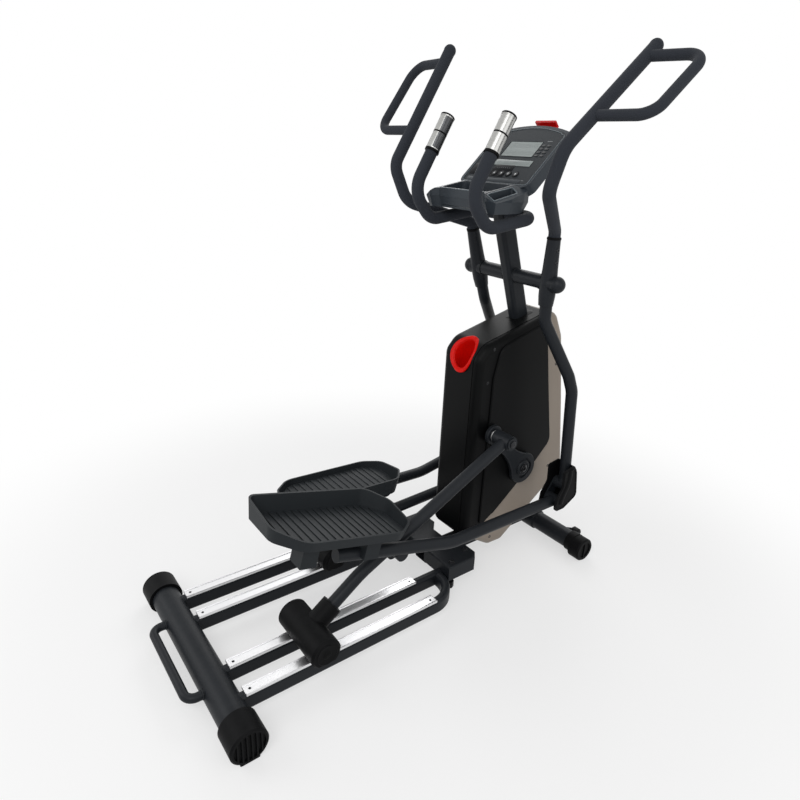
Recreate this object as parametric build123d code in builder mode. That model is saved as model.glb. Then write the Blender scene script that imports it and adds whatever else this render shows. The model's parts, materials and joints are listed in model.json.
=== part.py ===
"""Elliptical cross trainer with slide rails, crank drive, swing arms and console.

+X points forward to the console, +Y to the rider's left and +Z up. The origin is on
the floor under the middle of the machine. All sizes are in millimetres.

Each side has a rod from its crank pin to a roller carriage on two rails, and a pedal
arm from the foot of its swing arm back to the pedal tray. The right pedal stands at
the rear of its stroke and the left one near the front.
"""

import os
from math import acos, atan2, cos, degrees, hypot, radians, sin, tan

from build123d import *

os.makedirs("parts", exist_ok=True)

# ---------------------------------------------------------------- driving dimensions
# Stabilizers
REAR_X, FRONT_X = -685.0, 615.0
STABILIZER_Z = 49.0
REAR_TUBE, REAR_HALF = 80.0, 334.0
REAR_CAP, REAR_CAP_IN, REAR_CAP_OUT = 98.0, 272.0, 348.0
FRONT_TUBE, FRONT_HALF = 66.0, 272.0
HANDLE_REACH, HANDLE_DIAMETER = 77.45, 24.0
FRONT_CAP, FRONT_CAP_IN, FRONT_CAP_OUT = 84.0, 222.0, 290.0
STEEL_WALL = 2.5

# Slide rails
RAIL_INNER_Y, RAIL_OUTER_Y = 112.0, 218.0
RAIL_WIDTH, RAIL_HEIGHT, RAIL_Z = 28.0, 50.0, 52.0
RAIL_BEND = 88.0
RAIL_FRONT_X = 77.0
TRACK_REAR_X, TRACK_FRONT_X = -643.0, -32.0
TRACK_WIDTH, TRACK_HEIGHT = 32.0, 5.5

# Centre frame
BEAM_WIDTH, BEAM_HEIGHT, BEAM_Z = 60.0, 40.0, 62.0
UPRIGHT_X = 474.0
MAST_DEPTH, MAST_WIDTH = 60.0, 40.0
MAST_BEND_Z = 780.0
MAST_LEAN = 19.6
MAST_TOP_Z = 1232.0

# Crank and drive
CRANK_X, CRANK_Z, CRANK_RADIUS = 435.0, 348.0, 230.0
CRANK_ANGLE = 134.0
CRANK_PLATE_IN, CRANK_PLATE_OUT = 98.0, 111.0
HUB_RADIUS = 56.0
PULLEY_RADIUS, PULLEY_Y = 120.0, 46.0
FLYWHEEL_Z, FLYWHEEL_RADIUS = 600.0, 115.0
SMALL_PULLEY_RADIUS = 22.0

# Rods and roller carriages
ROD_Y, ROD_DIAMETER = 160.0, 38.0
ROLLER_Z = 118.0
ROLLER_X = {-1: -433.0, 1: -212.0}
CARRIAGE_RADIUS, CARRIAGE_HALF = 44.0, 100.0
CARRIAGE_Y = 165.0

# Swing arms
PIVOT_X, PIVOT_Z = 392.0, 1004.0
AXLE_TUBE, AXLE_SHAFT = 44.0, 24.0
ARM_Y, FOOT_Y = 152.0, 220.0
ARM_DIAMETER, GRIP_DIAMETER, LOOP_DIAMETER = 38.0, 36.0, 28.0
FOOT_LOCAL = (92.0, -742.0)
ARM_ANGLE = {-1: 0.0, 1: -18.0}

# Pedal arms and trays
PEDAL_ARM_DIAMETER = 38.0
PEDAL_ARM_ANGLE = {-1: 0.0, 1: -12.0}
TRAY_LENGTH, TRAY_WIDTH = 430.0, 226.0
TRAY_PITCH = 14.5
TRAY_FRONT_LOCAL = (-628.0, 104.0)

# Housing
HOUSING_HALF, HOUSING_WALL, HOUSING_ROUND = 85.0, 3.0, 24.5
SPINE_HALF = 58.0
RING_X, RING_Z = 228.0, 763.0
RING_SLOPE, CUP_LEAN = 60.0, 24.0

# Console and fixed handlebar
CONSOLE_TILT = 43.7
CONSOLE_X, CONSOLE_Z, CONSOLE_HALF, CONSOLE_LENGTH = 268.0, 1277.0, 141.0, 213.0
CONSOLE_FOOT, TRAY_FOOT_Z = -8.0, 1203.0
BAR_DIAMETER, SENSOR_DIAMETER = 36.0, 42.0
BAR_Y = 122.0
BAR_CROSS = (328.0, 1190.0)

RUNNING_FIT = 0.1
SIDES = {-1: "right", 1: "left"}
KEY_PLACES = [(-19, 38), (9, 38), (37, 38), (65, 38)]
SCREEN_AT, SCREEN_SIZE = (10, 137), (124.0, 60.0)


# ---------------------------------------------------------------- shared helpers
def turned(x, z, angle):
    """Turn (x, z) about the lateral axis; a positive angle carries +X down to -Z."""
    a = radians(angle)
    return x * cos(a) + z * sin(a), z * cos(a) - x * sin(a)


def tube(points, bend, diameter, wall=0.0):
    """Round tube along a path with filleted corners, solid where wall is 0."""
    with BuildPart() as run:
        with BuildLine() as path:
            if len(points) > 2:
                FilletPolyline(*points, radius=bend)
            else:
                Line(*points)
        with BuildSketch(Plane(origin=path.line @ 0, z_dir=path.line % 0)):
            Circle(diameter / 2)
            if wall:
                Circle(diameter / 2 - wall, mode=Mode.SUBTRACT)
        sweep(path=path.line)
    return run.part


def box_tube(points, bend, width, height, across, wall=0.0, corner=8.0):
    """Rounded rectangular tube; width lies along the direction across."""
    with BuildPart() as run:
        with BuildLine() as path:
            if len(points) > 2:
                FilletPolyline(*points, radius=bend)
            else:
                Line(*points)
        with BuildSketch(Plane(origin=path.line @ 0, x_dir=across, z_dir=path.line % 0)):
            RectangleRounded(width, height, corner)
            if wall:
                RectangleRounded(width - 2 * wall, height - 2 * wall, corner - wall,
                                 mode=Mode.SUBTRACT)
        sweep(path=path.line)
    return run.part


def straight(points, diameter, wall=0.0):
    """Round tube along one straight run between two points."""
    start, end = Vector(*points[0]), Vector(*points[1])
    with BuildPart() as run:
        with BuildSketch(Plane(origin=start, z_dir=end - start)):
            Circle(diameter / 2)
            if wall:
                Circle(diameter / 2 - wall, mode=Mode.SUBTRACT)
        extrude(amount=(end - start).length)
    return run.part


def lateral(x, z, y_from, y_to, radius, bore=0.0):
    """Cylinder or ring whose axis runs along Y."""
    with BuildPart() as barrel:
        with BuildSketch(Plane(origin=(x, y_from, z), x_dir=(1, 0, 0), z_dir=(0, 1, 0))):
            Circle(radius)
            if bore:
                Circle(bore, mode=Mode.SUBTRACT)
        extrude(amount=y_to - y_from)
    return barrel.part


def side_plane(y):
    """Plane seen from the right-hand side: its x is world X and its y is world Z."""
    return Plane(origin=(0, y, 0), x_dir=(1, 0, 0), z_dir=(0, -1, 0))


def mast_x(z):
    """Centre of the leaning mast at a height."""
    return UPRIGHT_X - (z - MAST_BEND_Z) * tan(radians(MAST_LEAN))


# ---------------------------------------------------------------- stabilizers
def rear_stabilizer():
    """Rear floor tube, its end caps and the carry handle behind it."""
    body = straight([(REAR_X, -REAR_HALF, STABILIZER_Z), (REAR_X, REAR_HALF, STABILIZER_Z)],
                    REAR_TUBE)
    back = REAR_X - HANDLE_REACH
    with BuildPart() as rear_stabilizer_tube:
        add(body)
        add(straight([(REAR_X, -148, 58), (REAR_X - REAR_TUBE / 2 - 6, -148, 58)], 24))
        add(straight([(REAR_X, 148, 58), (REAR_X - REAR_TUBE / 2 - 6, 148, 58)], 24))
        add(tube([(REAR_X - REAR_TUBE / 2 - 4, 148, 58), (back, 148, 58), (back, -148, 58),
                  (REAR_X - REAR_TUBE / 2 - 4, -148, 58)], 26, HANDLE_DIAMETER))
        with BuildSketch(Plane(origin=(REAR_X, -REAR_HALF, STABILIZER_Z), x_dir=(1, 0, 0),
                               z_dir=(0, 1, 0))):
            Circle(REAR_TUBE / 2 - STEEL_WALL)
        extrude(amount=2 * REAR_HALF, mode=Mode.SUBTRACT)
    rear_stabilizer_tube.part.label = "rear_stabilizer_tube"
    export_step(rear_stabilizer_tube.part, "parts/rear_stabilizer_tube.step")

    for side, word in SIDES.items():
        face = Plane(origin=(REAR_X, side * REAR_CAP_IN, STABILIZER_Z), x_dir=(1, 0, 0),
                     z_dir=(0, side, 0))
        up = -side
        depth = REAR_CAP_OUT - REAR_CAP_IN
        with BuildPart() as cap:
            with BuildSketch(face):
                Circle(REAR_CAP / 2)
                with Locations((0, -up * STABILIZER_Z / 2)):
                    Rectangle(REAR_CAP * 0.5, STABILIZER_Z)
            extrude(amount=depth)
            chamfer(cap.faces().sort_by(Axis.Y)[-1 if side > 0 else 0].edges(), 4)
            with BuildSketch(face):
                Circle(REAR_TUBE / 2)
            extrude(amount=REAR_HALF - REAR_CAP_IN, mode=Mode.SUBTRACT)
            with BuildSketch(face.offset(depth)):
                Circle(REAR_CAP / 2 - 9)
                with GridLocations(12, 1, 6, 1):
                    Rectangle(4, REAR_CAP, mode=Mode.SUBTRACT)
            extrude(amount=-5, mode=Mode.SUBTRACT)
        cap.part.label = f"rear_end_cap_{word}"
        export_step(cap.part, f"parts/rear_end_cap_{word}.step")


def front_stabilizer():
    """Front floor tube with saddle, levelling end caps and transport wheels."""
    body = straight([(FRONT_X, -FRONT_HALF, STABILIZER_Z), (FRONT_X, FRONT_HALF, STABILIZER_Z)],
                    FRONT_TUBE, STEEL_WALL)
    saddles = lateral(FRONT_X, STABILIZER_Z, -62, 62, FRONT_TUBE / 2 + 4, FRONT_TUBE / 2)
    with BuildPart() as front_stabilizer_tube:
        add(body)
        add(saddles)
        for y in (-203, 203):
            for wall in (-16.5, 16.5):
                with BuildSketch(side_plane(y + wall + 2)):
                    with BuildLine():
                        Polyline((FRONT_X + 20, 30), (FRONT_X + 56, 44), (FRONT_X + 56, 60),
                                 (FRONT_X + 20, 76), close=True)
                    make_face()
                extrude(amount=4)
        with BuildSketch(Plane(origin=(FRONT_X, -FRONT_HALF, STABILIZER_Z), x_dir=(1, 0, 0),
                               z_dir=(0, 1, 0))):
            Circle(FRONT_TUBE / 2 - STEEL_WALL)
        extrude(amount=2 * FRONT_HALF, mode=Mode.SUBTRACT)
    front_stabilizer_tube.part.label = "front_stabilizer_tube"
    export_step(front_stabilizer_tube.part, "parts/front_stabilizer_tube.step")

    for side, word in SIDES.items():
        face = Plane(origin=(FRONT_X, side * FRONT_CAP_IN, STABILIZER_Z), x_dir=(1, 0, 0),
                     z_dir=(0, side, 0))
        up = -side
        depth = FRONT_CAP_OUT - FRONT_CAP_IN
        drop = (0, -up * (STABILIZER_Z - FRONT_CAP / 2))
        with BuildPart() as cap:
            with BuildSketch(face):
                Circle(FRONT_TUBE / 2 + 4)
            extrude(amount=depth - 40)
            with BuildSketch(face.offset(depth - 44)):
                with Locations(drop):
                    Circle(FRONT_CAP / 2)
            extrude(amount=39)
            with BuildSketch(face.offset(depth - 5)):
                with Locations(drop):
                    Circle(FRONT_CAP / 2)
            extrude(amount=5, taper=40)
            with BuildSketch(face):
                Circle(FRONT_TUBE / 2)
            extrude(amount=FRONT_HALF - FRONT_CAP_IN, mode=Mode.SUBTRACT)
            with BuildSketch(face.offset(depth)):
                with Locations(drop):
                    Circle(FRONT_CAP / 2 - 13)
                    Rectangle(5, FRONT_CAP, mode=Mode.SUBTRACT)
            extrude(amount=-4, mode=Mode.SUBTRACT)
        cap.part.label = f"front_end_cap_{word}"
        export_step(cap.part, f"parts/front_end_cap_{word}.step")

        y = side * 203
        with BuildPart() as wheel:
            with BuildSketch(Plane(origin=(FRONT_X + 53, y, 52), z_dir=(0, 1, 0))):
                Circle(18)
            extrude(amount=13.5, both=True)
            chamfer(wheel.edges().filter_by(GeomType.CIRCLE), 3)
        wheel.part.label = f"transport_wheel_{word}"
        export_step(wheel.part, f"parts/transport_wheel_{word}.step")


# ---------------------------------------------------------------- rails
def rails():
    """Two beams a side, the outer one bent in to meet the inner, with their tracks."""
    for side, word in SIDES.items():
        start = REAR_X + 20
        bend_x = RAIL_FRONT_X - 102
        inner = box_tube([(start, side * RAIL_INNER_Y, RAIL_Z),
                          (RAIL_FRONT_X, side * RAIL_INNER_Y, RAIL_Z)],
                         0, RAIL_WIDTH, RAIL_HEIGHT, (0, 1, 0), STEEL_WALL, 11)
        outer = box_tube([(start, side * RAIL_OUTER_Y, RAIL_Z),
                          (bend_x + RAIL_BEND, side * RAIL_OUTER_Y, RAIL_Z),
                          (bend_x + RAIL_BEND, side * (RAIL_INNER_Y + 10), RAIL_Z)],
                         RAIL_BEND, RAIL_WIDTH, RAIL_HEIGHT, (0, 1, 0), 0, 11)
        for piece, y, name in ((inner, RAIL_INNER_Y, "inner"), (outer, RAIL_OUTER_Y, "outer")):
            with BuildPart() as rail:
                add(piece)
                with BuildSketch(Plane(origin=(REAR_X, -300, STABILIZER_Z), x_dir=(1, 0, 0),
                                       z_dir=(0, 1, 0))):
                    Circle(REAR_TUBE / 2)
                extrude(amount=600, mode=Mode.SUBTRACT)
                if name == "outer":
                    with Locations((0, side * RAIL_INNER_Y, RAIL_Z)):
                        Box(600, RAIL_WIDTH, 80, mode=Mode.SUBTRACT)
            rail.part.label = f"rail_{name}_{word}"
            export_step(rail.part, f"parts/rail_{name}_{word}.step")

            length = TRACK_FRONT_X - TRACK_REAR_X
            base = RAIL_Z + RAIL_HEIGHT / 2
            with BuildPart() as track:
                with BuildSketch(Plane(origin=(TRACK_REAR_X, side * y, base), x_dir=(0, 1, 0),
                                       z_dir=(1, 0, 0))):
                    with Locations((0, TRACK_HEIGHT / 2)):
                        Rectangle(TRACK_WIDTH, TRACK_HEIGHT)
                extrude(amount=length)
                top = Plane(origin=(TRACK_REAR_X + length / 2, side * y, base + TRACK_HEIGHT))
                with BuildSketch(top):
                    with GridLocations(length - 30, 1, 2, 1):
                        Circle(4)
                extrude(amount=-3, mode=Mode.SUBTRACT)
            track.part.label = f"track_{name}_{word}"
            export_step(track.part, f"parts/track_{name}_{word}.step")


# ---------------------------------------------------------------- centre frame
def centre_frame():
    """Cross bracket, long beam, upright with brake, leaning mast and the swing axle."""
    with BuildPart() as bracket:
        with BuildSketch(Plane.XY.offset(58)):
            with BuildLine():
                Polyline((RAIL_FRONT_X, -160), (RAIL_FRONT_X + 112, -160),
                         (RAIL_FRONT_X + 132, -138), (RAIL_FRONT_X + 132, -78),
                         (RAIL_FRONT_X + 100, -46), (RAIL_FRONT_X + 100, 46),
                         (RAIL_FRONT_X + 132, 78), (RAIL_FRONT_X + 132, 138),
                         (RAIL_FRONT_X + 112, 160), (RAIL_FRONT_X, 160), close=True)
            make_face()
        extrude(amount=52)
        fillet(bracket.faces().sort_by(Axis.Z)[-1].edges(), 5)
        with BuildSketch(Plane.XY.offset(58)):
            with Locations((RAIL_FRONT_X + 50, 0)):
                Rectangle(88, 306)
        extrude(amount=48, mode=Mode.SUBTRACT)
        with Locations((RAIL_FRONT_X + 60, 0, BEAM_Z + 10)):
            Box(160, BEAM_WIDTH, 60, mode=Mode.SUBTRACT)

    for side, word in SIDES.items():
        with BuildPart() as foot:
            with BuildSketch(Plane(origin=(RAIL_FRONT_X + 24, side * 136, 16), z_dir=(0, 0, 1))):
                RegularPolygon(17, 8)
            extrude(amount=22)
            with BuildSketch(Plane(origin=(RAIL_FRONT_X + 24, side * 136, 38), z_dir=(0, 0, 1))):
                Circle(6)
            extrude(amount=62)
        foot.part.label = f"levelling_foot_{word}"
        export_step(foot.part, f"parts/levelling_foot_{word}.step")

    beam_end = FRONT_X - 10
    beam = box_tube([(RAIL_FRONT_X + 12, 0, BEAM_Z), (beam_end, 0, BEAM_Z)], 0,
                    BEAM_WIDTH, BEAM_HEIGHT, (0, 1, 0), STEEL_WALL, 7)
    post = box_tube([(UPRIGHT_X, 0, BEAM_Z + BEAM_HEIGHT / 2 - 1), (UPRIGHT_X, 0, MAST_BEND_Z - 30)],
                    0, 70, 44, (1, 0, 0), STEEL_WALL, 7)
    crank_barrel = lateral(CRANK_X, CRANK_Z, -34, 34, 28, 17.5)
    fly_barrel = lateral(UPRIGHT_X, FLYWHEEL_Z, -30, 30, 20, 8.5)
    with BuildPart() as magnet_brake:
        with BuildSketch(side_plane(-36)):
            with Locations((UPRIGHT_X, FLYWHEEL_Z)):
                Circle(FLYWHEEL_RADIUS + 17)
                Circle(FLYWHEEL_RADIUS + 3, mode=Mode.SUBTRACT)
            with Locations((UPRIGHT_X - 120, FLYWHEEL_Z + 16)):
                Rectangle(130, 110, mode=Mode.INTERSECT)
        extrude(amount=38)
        with BuildSketch(side_plane(-22)):
            with BuildLine():
                Polyline((UPRIGHT_X - 35, FLYWHEEL_Z + 70), (UPRIGHT_X - 35, FLYWHEEL_Z + 110),
                         (UPRIGHT_X - 104, FLYWHEEL_Z + 78), (UPRIGHT_X - 122, FLYWHEEL_Z + 52),
                         (UPRIGHT_X - 110, FLYWHEEL_Z + 44), close=True)
            make_face()
        extrude(amount=-14)
        with BuildSketch(side_plane(-36)):
            with BuildLine():
                Polyline((UPRIGHT_X - 96, FLYWHEEL_Z + 74), (UPRIGHT_X - 104, FLYWHEEL_Z + 78),
                         (UPRIGHT_X - 122, FLYWHEEL_Z + 52), (UPRIGHT_X - 112, FLYWHEEL_Z + 46),
                         close=True)
            make_face()
        extrude(amount=-14)

    with BuildPart() as main_frame:
        add(beam)
        add(post)
        with BuildSketch(side_plane(3)):
            with BuildLine():
                Polyline((UPRIGHT_X - 34, 82), (UPRIGHT_X - 120, 82), (UPRIGHT_X - 34, 190),
                         close=True)
            make_face()
        extrude(amount=6)
        with BuildSketch(side_plane(40)):
            with Locations((CRANK_X, CRANK_Z)):
                Circle(27)
            with Locations((UPRIGHT_X, FLYWHEEL_Z)):
                Circle(19)
        extrude(amount=80, mode=Mode.SUBTRACT)
        add(crank_barrel)
        add(fly_barrel)
        add(bracket.part)
        add(magnet_brake.part)
        with BuildSketch(side_plane(300)):
            with Locations((FRONT_X, STABILIZER_Z)):
                Circle(FRONT_TUBE / 2 + 4)
        extrude(amount=600, mode=Mode.SUBTRACT)
    main_frame.part.label = "main_frame"
    export_step(main_frame.part, "parts/main_frame.step")

    lean = Vector(-sin(radians(MAST_LEAN)), 0, cos(radians(MAST_LEAN)))
    foot = Vector(UPRIGHT_X, 0, MAST_BEND_Z)
    head = foot + lean * ((MAST_TOP_Z - MAST_BEND_Z) / lean.Z)
    shaft = box_tube([(UPRIGHT_X, 0, MAST_BEND_Z - 30), tuple(foot), tuple(head)], 60,
                     MAST_DEPTH, MAST_WIDTH, (1, 0, 0), STEEL_WALL, 12)
    with BuildPart() as mast:
        add(shaft)
        with BuildSketch(side_plane(60)):
            with Locations((PIVOT_X, PIVOT_Z)):
                Circle(AXLE_TUBE / 2)
            with Locations(BAR_CROSS):
                Circle(BAR_DIAMETER / 2)
        extrude(amount=120, mode=Mode.SUBTRACT)
    mast.part.label = "mast"
    export_step(mast.part, "parts/mast.step")

    tube_run = lateral(PIVOT_X, PIVOT_Z, 30 - ARM_Y, ARM_Y - 30, AXLE_TUBE / 2)
    reach = ARM_Y + 30
    shaft_run = lateral(PIVOT_X, PIVOT_Z, -reach, reach, AXLE_SHAFT / 2)
    with BuildPart() as swing_axle:
        add(shaft_run)
        for side in SIDES:
            with Locations((PIVOT_X, side * (ARM_Y + 33), PIVOT_Z)):
                Sphere(25)
            trim = side_plane(side * (ARM_Y + 17.5) + 10)
            with BuildSketch(trim):
                with Locations((PIVOT_X, PIVOT_Z)):
                    Circle(40)
                    Circle(AXLE_SHAFT / 2, mode=Mode.SUBTRACT)
            extrude(amount=20, mode=Mode.SUBTRACT)
        add(tube_run)
    swing_axle.part.label = "swing_axle"
    export_step(swing_axle.part, "parts/swing_axle.step")
    return head


# ---------------------------------------------------------------- crank drive
def crank_pin(side):
    """Centre of the crank pin on one side, with the two cranks half a turn apart."""
    angle = radians(CRANK_ANGLE + (180 if side > 0 else 0))
    return CRANK_X + CRANK_RADIUS * cos(angle), CRANK_Z + CRANK_RADIUS * sin(angle)


def crank_drive():
    """Axle with belt wheel, two crank arms, flywheel, belt and magnet brake."""
    with BuildPart() as crank_axle:
        with BuildSketch(Plane(origin=(CRANK_X, 0, CRANK_Z), x_dir=(0, 1, 0), z_dir=(1, 0, 0))):
            with BuildLine():
                Polyline((-96, 0), (-96, 14), (-40, 14), (-40, 17.4), (36, 17.4), (36, 24),
                         (38, 24), (38, PULLEY_RADIUS - 14), (37, PULLEY_RADIUS - 14),
                         (37, PULLEY_RADIUS), (55, PULLEY_RADIUS), (55, PULLEY_RADIUS - 14),
                         (54, PULLEY_RADIUS - 14), (48, 34), (48, 24), (62, 24), (62, 14),
                         (96, 14), (96, 0), close=True)
            make_face()
        revolve(axis=Axis((CRANK_X, 0, CRANK_Z), (0, 1, 0)))
        with BuildSketch(side_plane(80)):
            with Locations((CRANK_X, CRANK_Z)):
                with PolarLocations(70, 5):
                    Circle(20)
        extrude(amount=50, mode=Mode.SUBTRACT)
    crank_axle.part.label = "crank_axle"
    export_step(crank_axle.part, "parts/crank_axle.step")

    for side, word in SIDES.items():
        pin_x, pin_z = crank_pin(side)
        along = Vector(pin_x - CRANK_X, 0, pin_z - CRANK_Z).normalized()
        plate = Plane(origin=(CRANK_X, side * CRANK_PLATE_IN, CRANK_Z), x_dir=along,
                      z_dir=(0, side, 0))
        with BuildPart() as crank_arm:
            with BuildSketch(plate):
                Circle(HUB_RADIUS)
                with Locations((CRANK_RADIUS, 0)):
                    Circle(32)
                with BuildLine():
                    upper = ThreePointArc((30, 46), (82, 26), (150, 22))
                    end = Polyline(upper @ 1, (CRANK_RADIUS, 28), (CRANK_RADIUS, -28),
                                   (150, -22))
                    lower = ThreePointArc(end @ 1, (82, -26), (30, -46))
                    Line(lower @ 1, upper @ 0)
                make_face()
            extrude(amount=CRANK_PLATE_OUT - CRANK_PLATE_IN)
            chamfer(crank_arm.faces().sort_by(Axis.Y)[-1 if side > 0 else 0].edges(), 2)
            with BuildSketch(plate):
                Circle(24)
            extrude(amount=-(CRANK_PLATE_IN - 96) - 4)
            with BuildSketch(plate.offset(CRANK_PLATE_OUT - CRANK_PLATE_IN)):
                RectangleRounded(68, 68, 24)
            extrude(amount=-4, mode=Mode.SUBTRACT)
            with BuildSketch(plate.offset(CRANK_PLATE_OUT - CRANK_PLATE_IN - 4)):
                Circle(23)
            extrude(amount=2)
            with BuildSketch(plate.offset(CRANK_PLATE_OUT - CRANK_PLATE_IN - 4)):
                RegularPolygon(14, 6)
            extrude(amount=7)
            with BuildSketch(plate.offset(-6)):
                Circle(14)
            extrude(amount=4, mode=Mode.SUBTRACT)
        crank_arm.part.label = f"crank_arm_{word}"
        export_step(crank_arm.part, f"parts/crank_arm_{word}.step")

    with BuildPart() as flywheel:
        with BuildSketch(Plane(origin=(UPRIGHT_X, 0, FLYWHEEL_Z), x_dir=(0, 1, 0),
                               z_dir=(1, 0, 0))):
            with BuildLine():
                Polyline((-76, 0), (-76, 10), (-70, 10), (-70, 34), (-60, 34), (-60, 88),
                         (-72, 88), (-72, FLYWHEEL_RADIUS), (-38, FLYWHEEL_RADIUS), (-38, 88),
                         (-48, 88), (-48, 34), (-34, 34), (-34, 8.4), (36, 8.4), (36, 26),
                         (37, SMALL_PULLEY_RADIUS), (55, SMALL_PULLEY_RADIUS), (56, 26),
                         (58, 26), (58, 8.4), (64, 8.4), (64, 0), close=True)
            make_face()
        revolve(axis=Axis((UPRIGHT_X, 0, FLYWHEEL_Z), (0, 1, 0)))
    flywheel.part.label = "flywheel"
    export_step(flywheel.part, "parts/flywheel.step")

    apart = hypot(UPRIGHT_X - CRANK_X, FLYWHEEL_Z - CRANK_Z)
    heading = degrees(atan2(FLYWHEEL_Z - CRANK_Z, UPRIGHT_X - CRANK_X))
    wrap = degrees(acos((PULLEY_RADIUS - SMALL_PULLEY_RADIUS) / apart))
    loops = []
    for grow in (3.4, 0.4):
        big, small = PULLEY_RADIUS + grow, SMALL_PULLEY_RADIUS + grow
        ends = []
        for turn in (wrap, -wrap):
            a = radians(turn)
            ends.append(((big * cos(a), big * sin(a)),
                         (apart + small * cos(a), small * sin(a))))
        loops.append((big, small, ends))
    run = Plane(origin=(CRANK_X, PULLEY_Y - 8, CRANK_Z),
                x_dir=(cos(radians(heading)), 0, sin(radians(heading))), z_dir=(0, 1, 0))
    with BuildPart() as belt:
        for (big, small, ends), mode in zip(loops, (Mode.ADD, Mode.SUBTRACT)):
            (top_a, top_b), (low_a, low_b) = ends
            with BuildSketch(run):
                with BuildLine():
                    Line(top_a, top_b)
                    ThreePointArc(top_b, (apart + small, 0), low_b)
                    Line(low_b, low_a)
                    ThreePointArc(low_a, (-big, 0), top_a)
                make_face()
            extrude(amount=16, mode=mode)
    belt.part.label = "belt"
    export_step(belt.part, "parts/belt.step")


# ---------------------------------------------------------------- housing
def housing_outline(inset=0.0):
    """Side outline of the drive housing, drawn inside a side-plane sketch."""
    with BuildSketch() as outline:
        with BuildLine():
            FilletPolyline((202, 136), (202, 768), (236, 808), (459, 868), (540, 892),
                           (588, 800), (638, 556), (692, 262), (394, 50), (334, 52),
                           close=True, radius=(20, 40, 60, 60, 40, 60, 120, 50, 20, 24))
        make_face()
        if inset:
            offset(amount=-inset)
    return outline.sketch


def panel_outline(inset=0.0):
    """Side outline of the raised panel on each housing half."""
    with BuildSketch() as outline:
        with BuildLine():
            FilletPolyline((265, 168), (265, 700), (288, 800), (487, 857), (508, 848),
                           (501, 800), (533, 647), (585, 410), (522, 347), (330, 194),
                           close=True, radius=(6, 60, 50, 20, 12, 60, 60, 40, 60, 20))
        make_face()
        if inset:
            offset(amount=-inset)
    return outline.sketch


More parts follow.
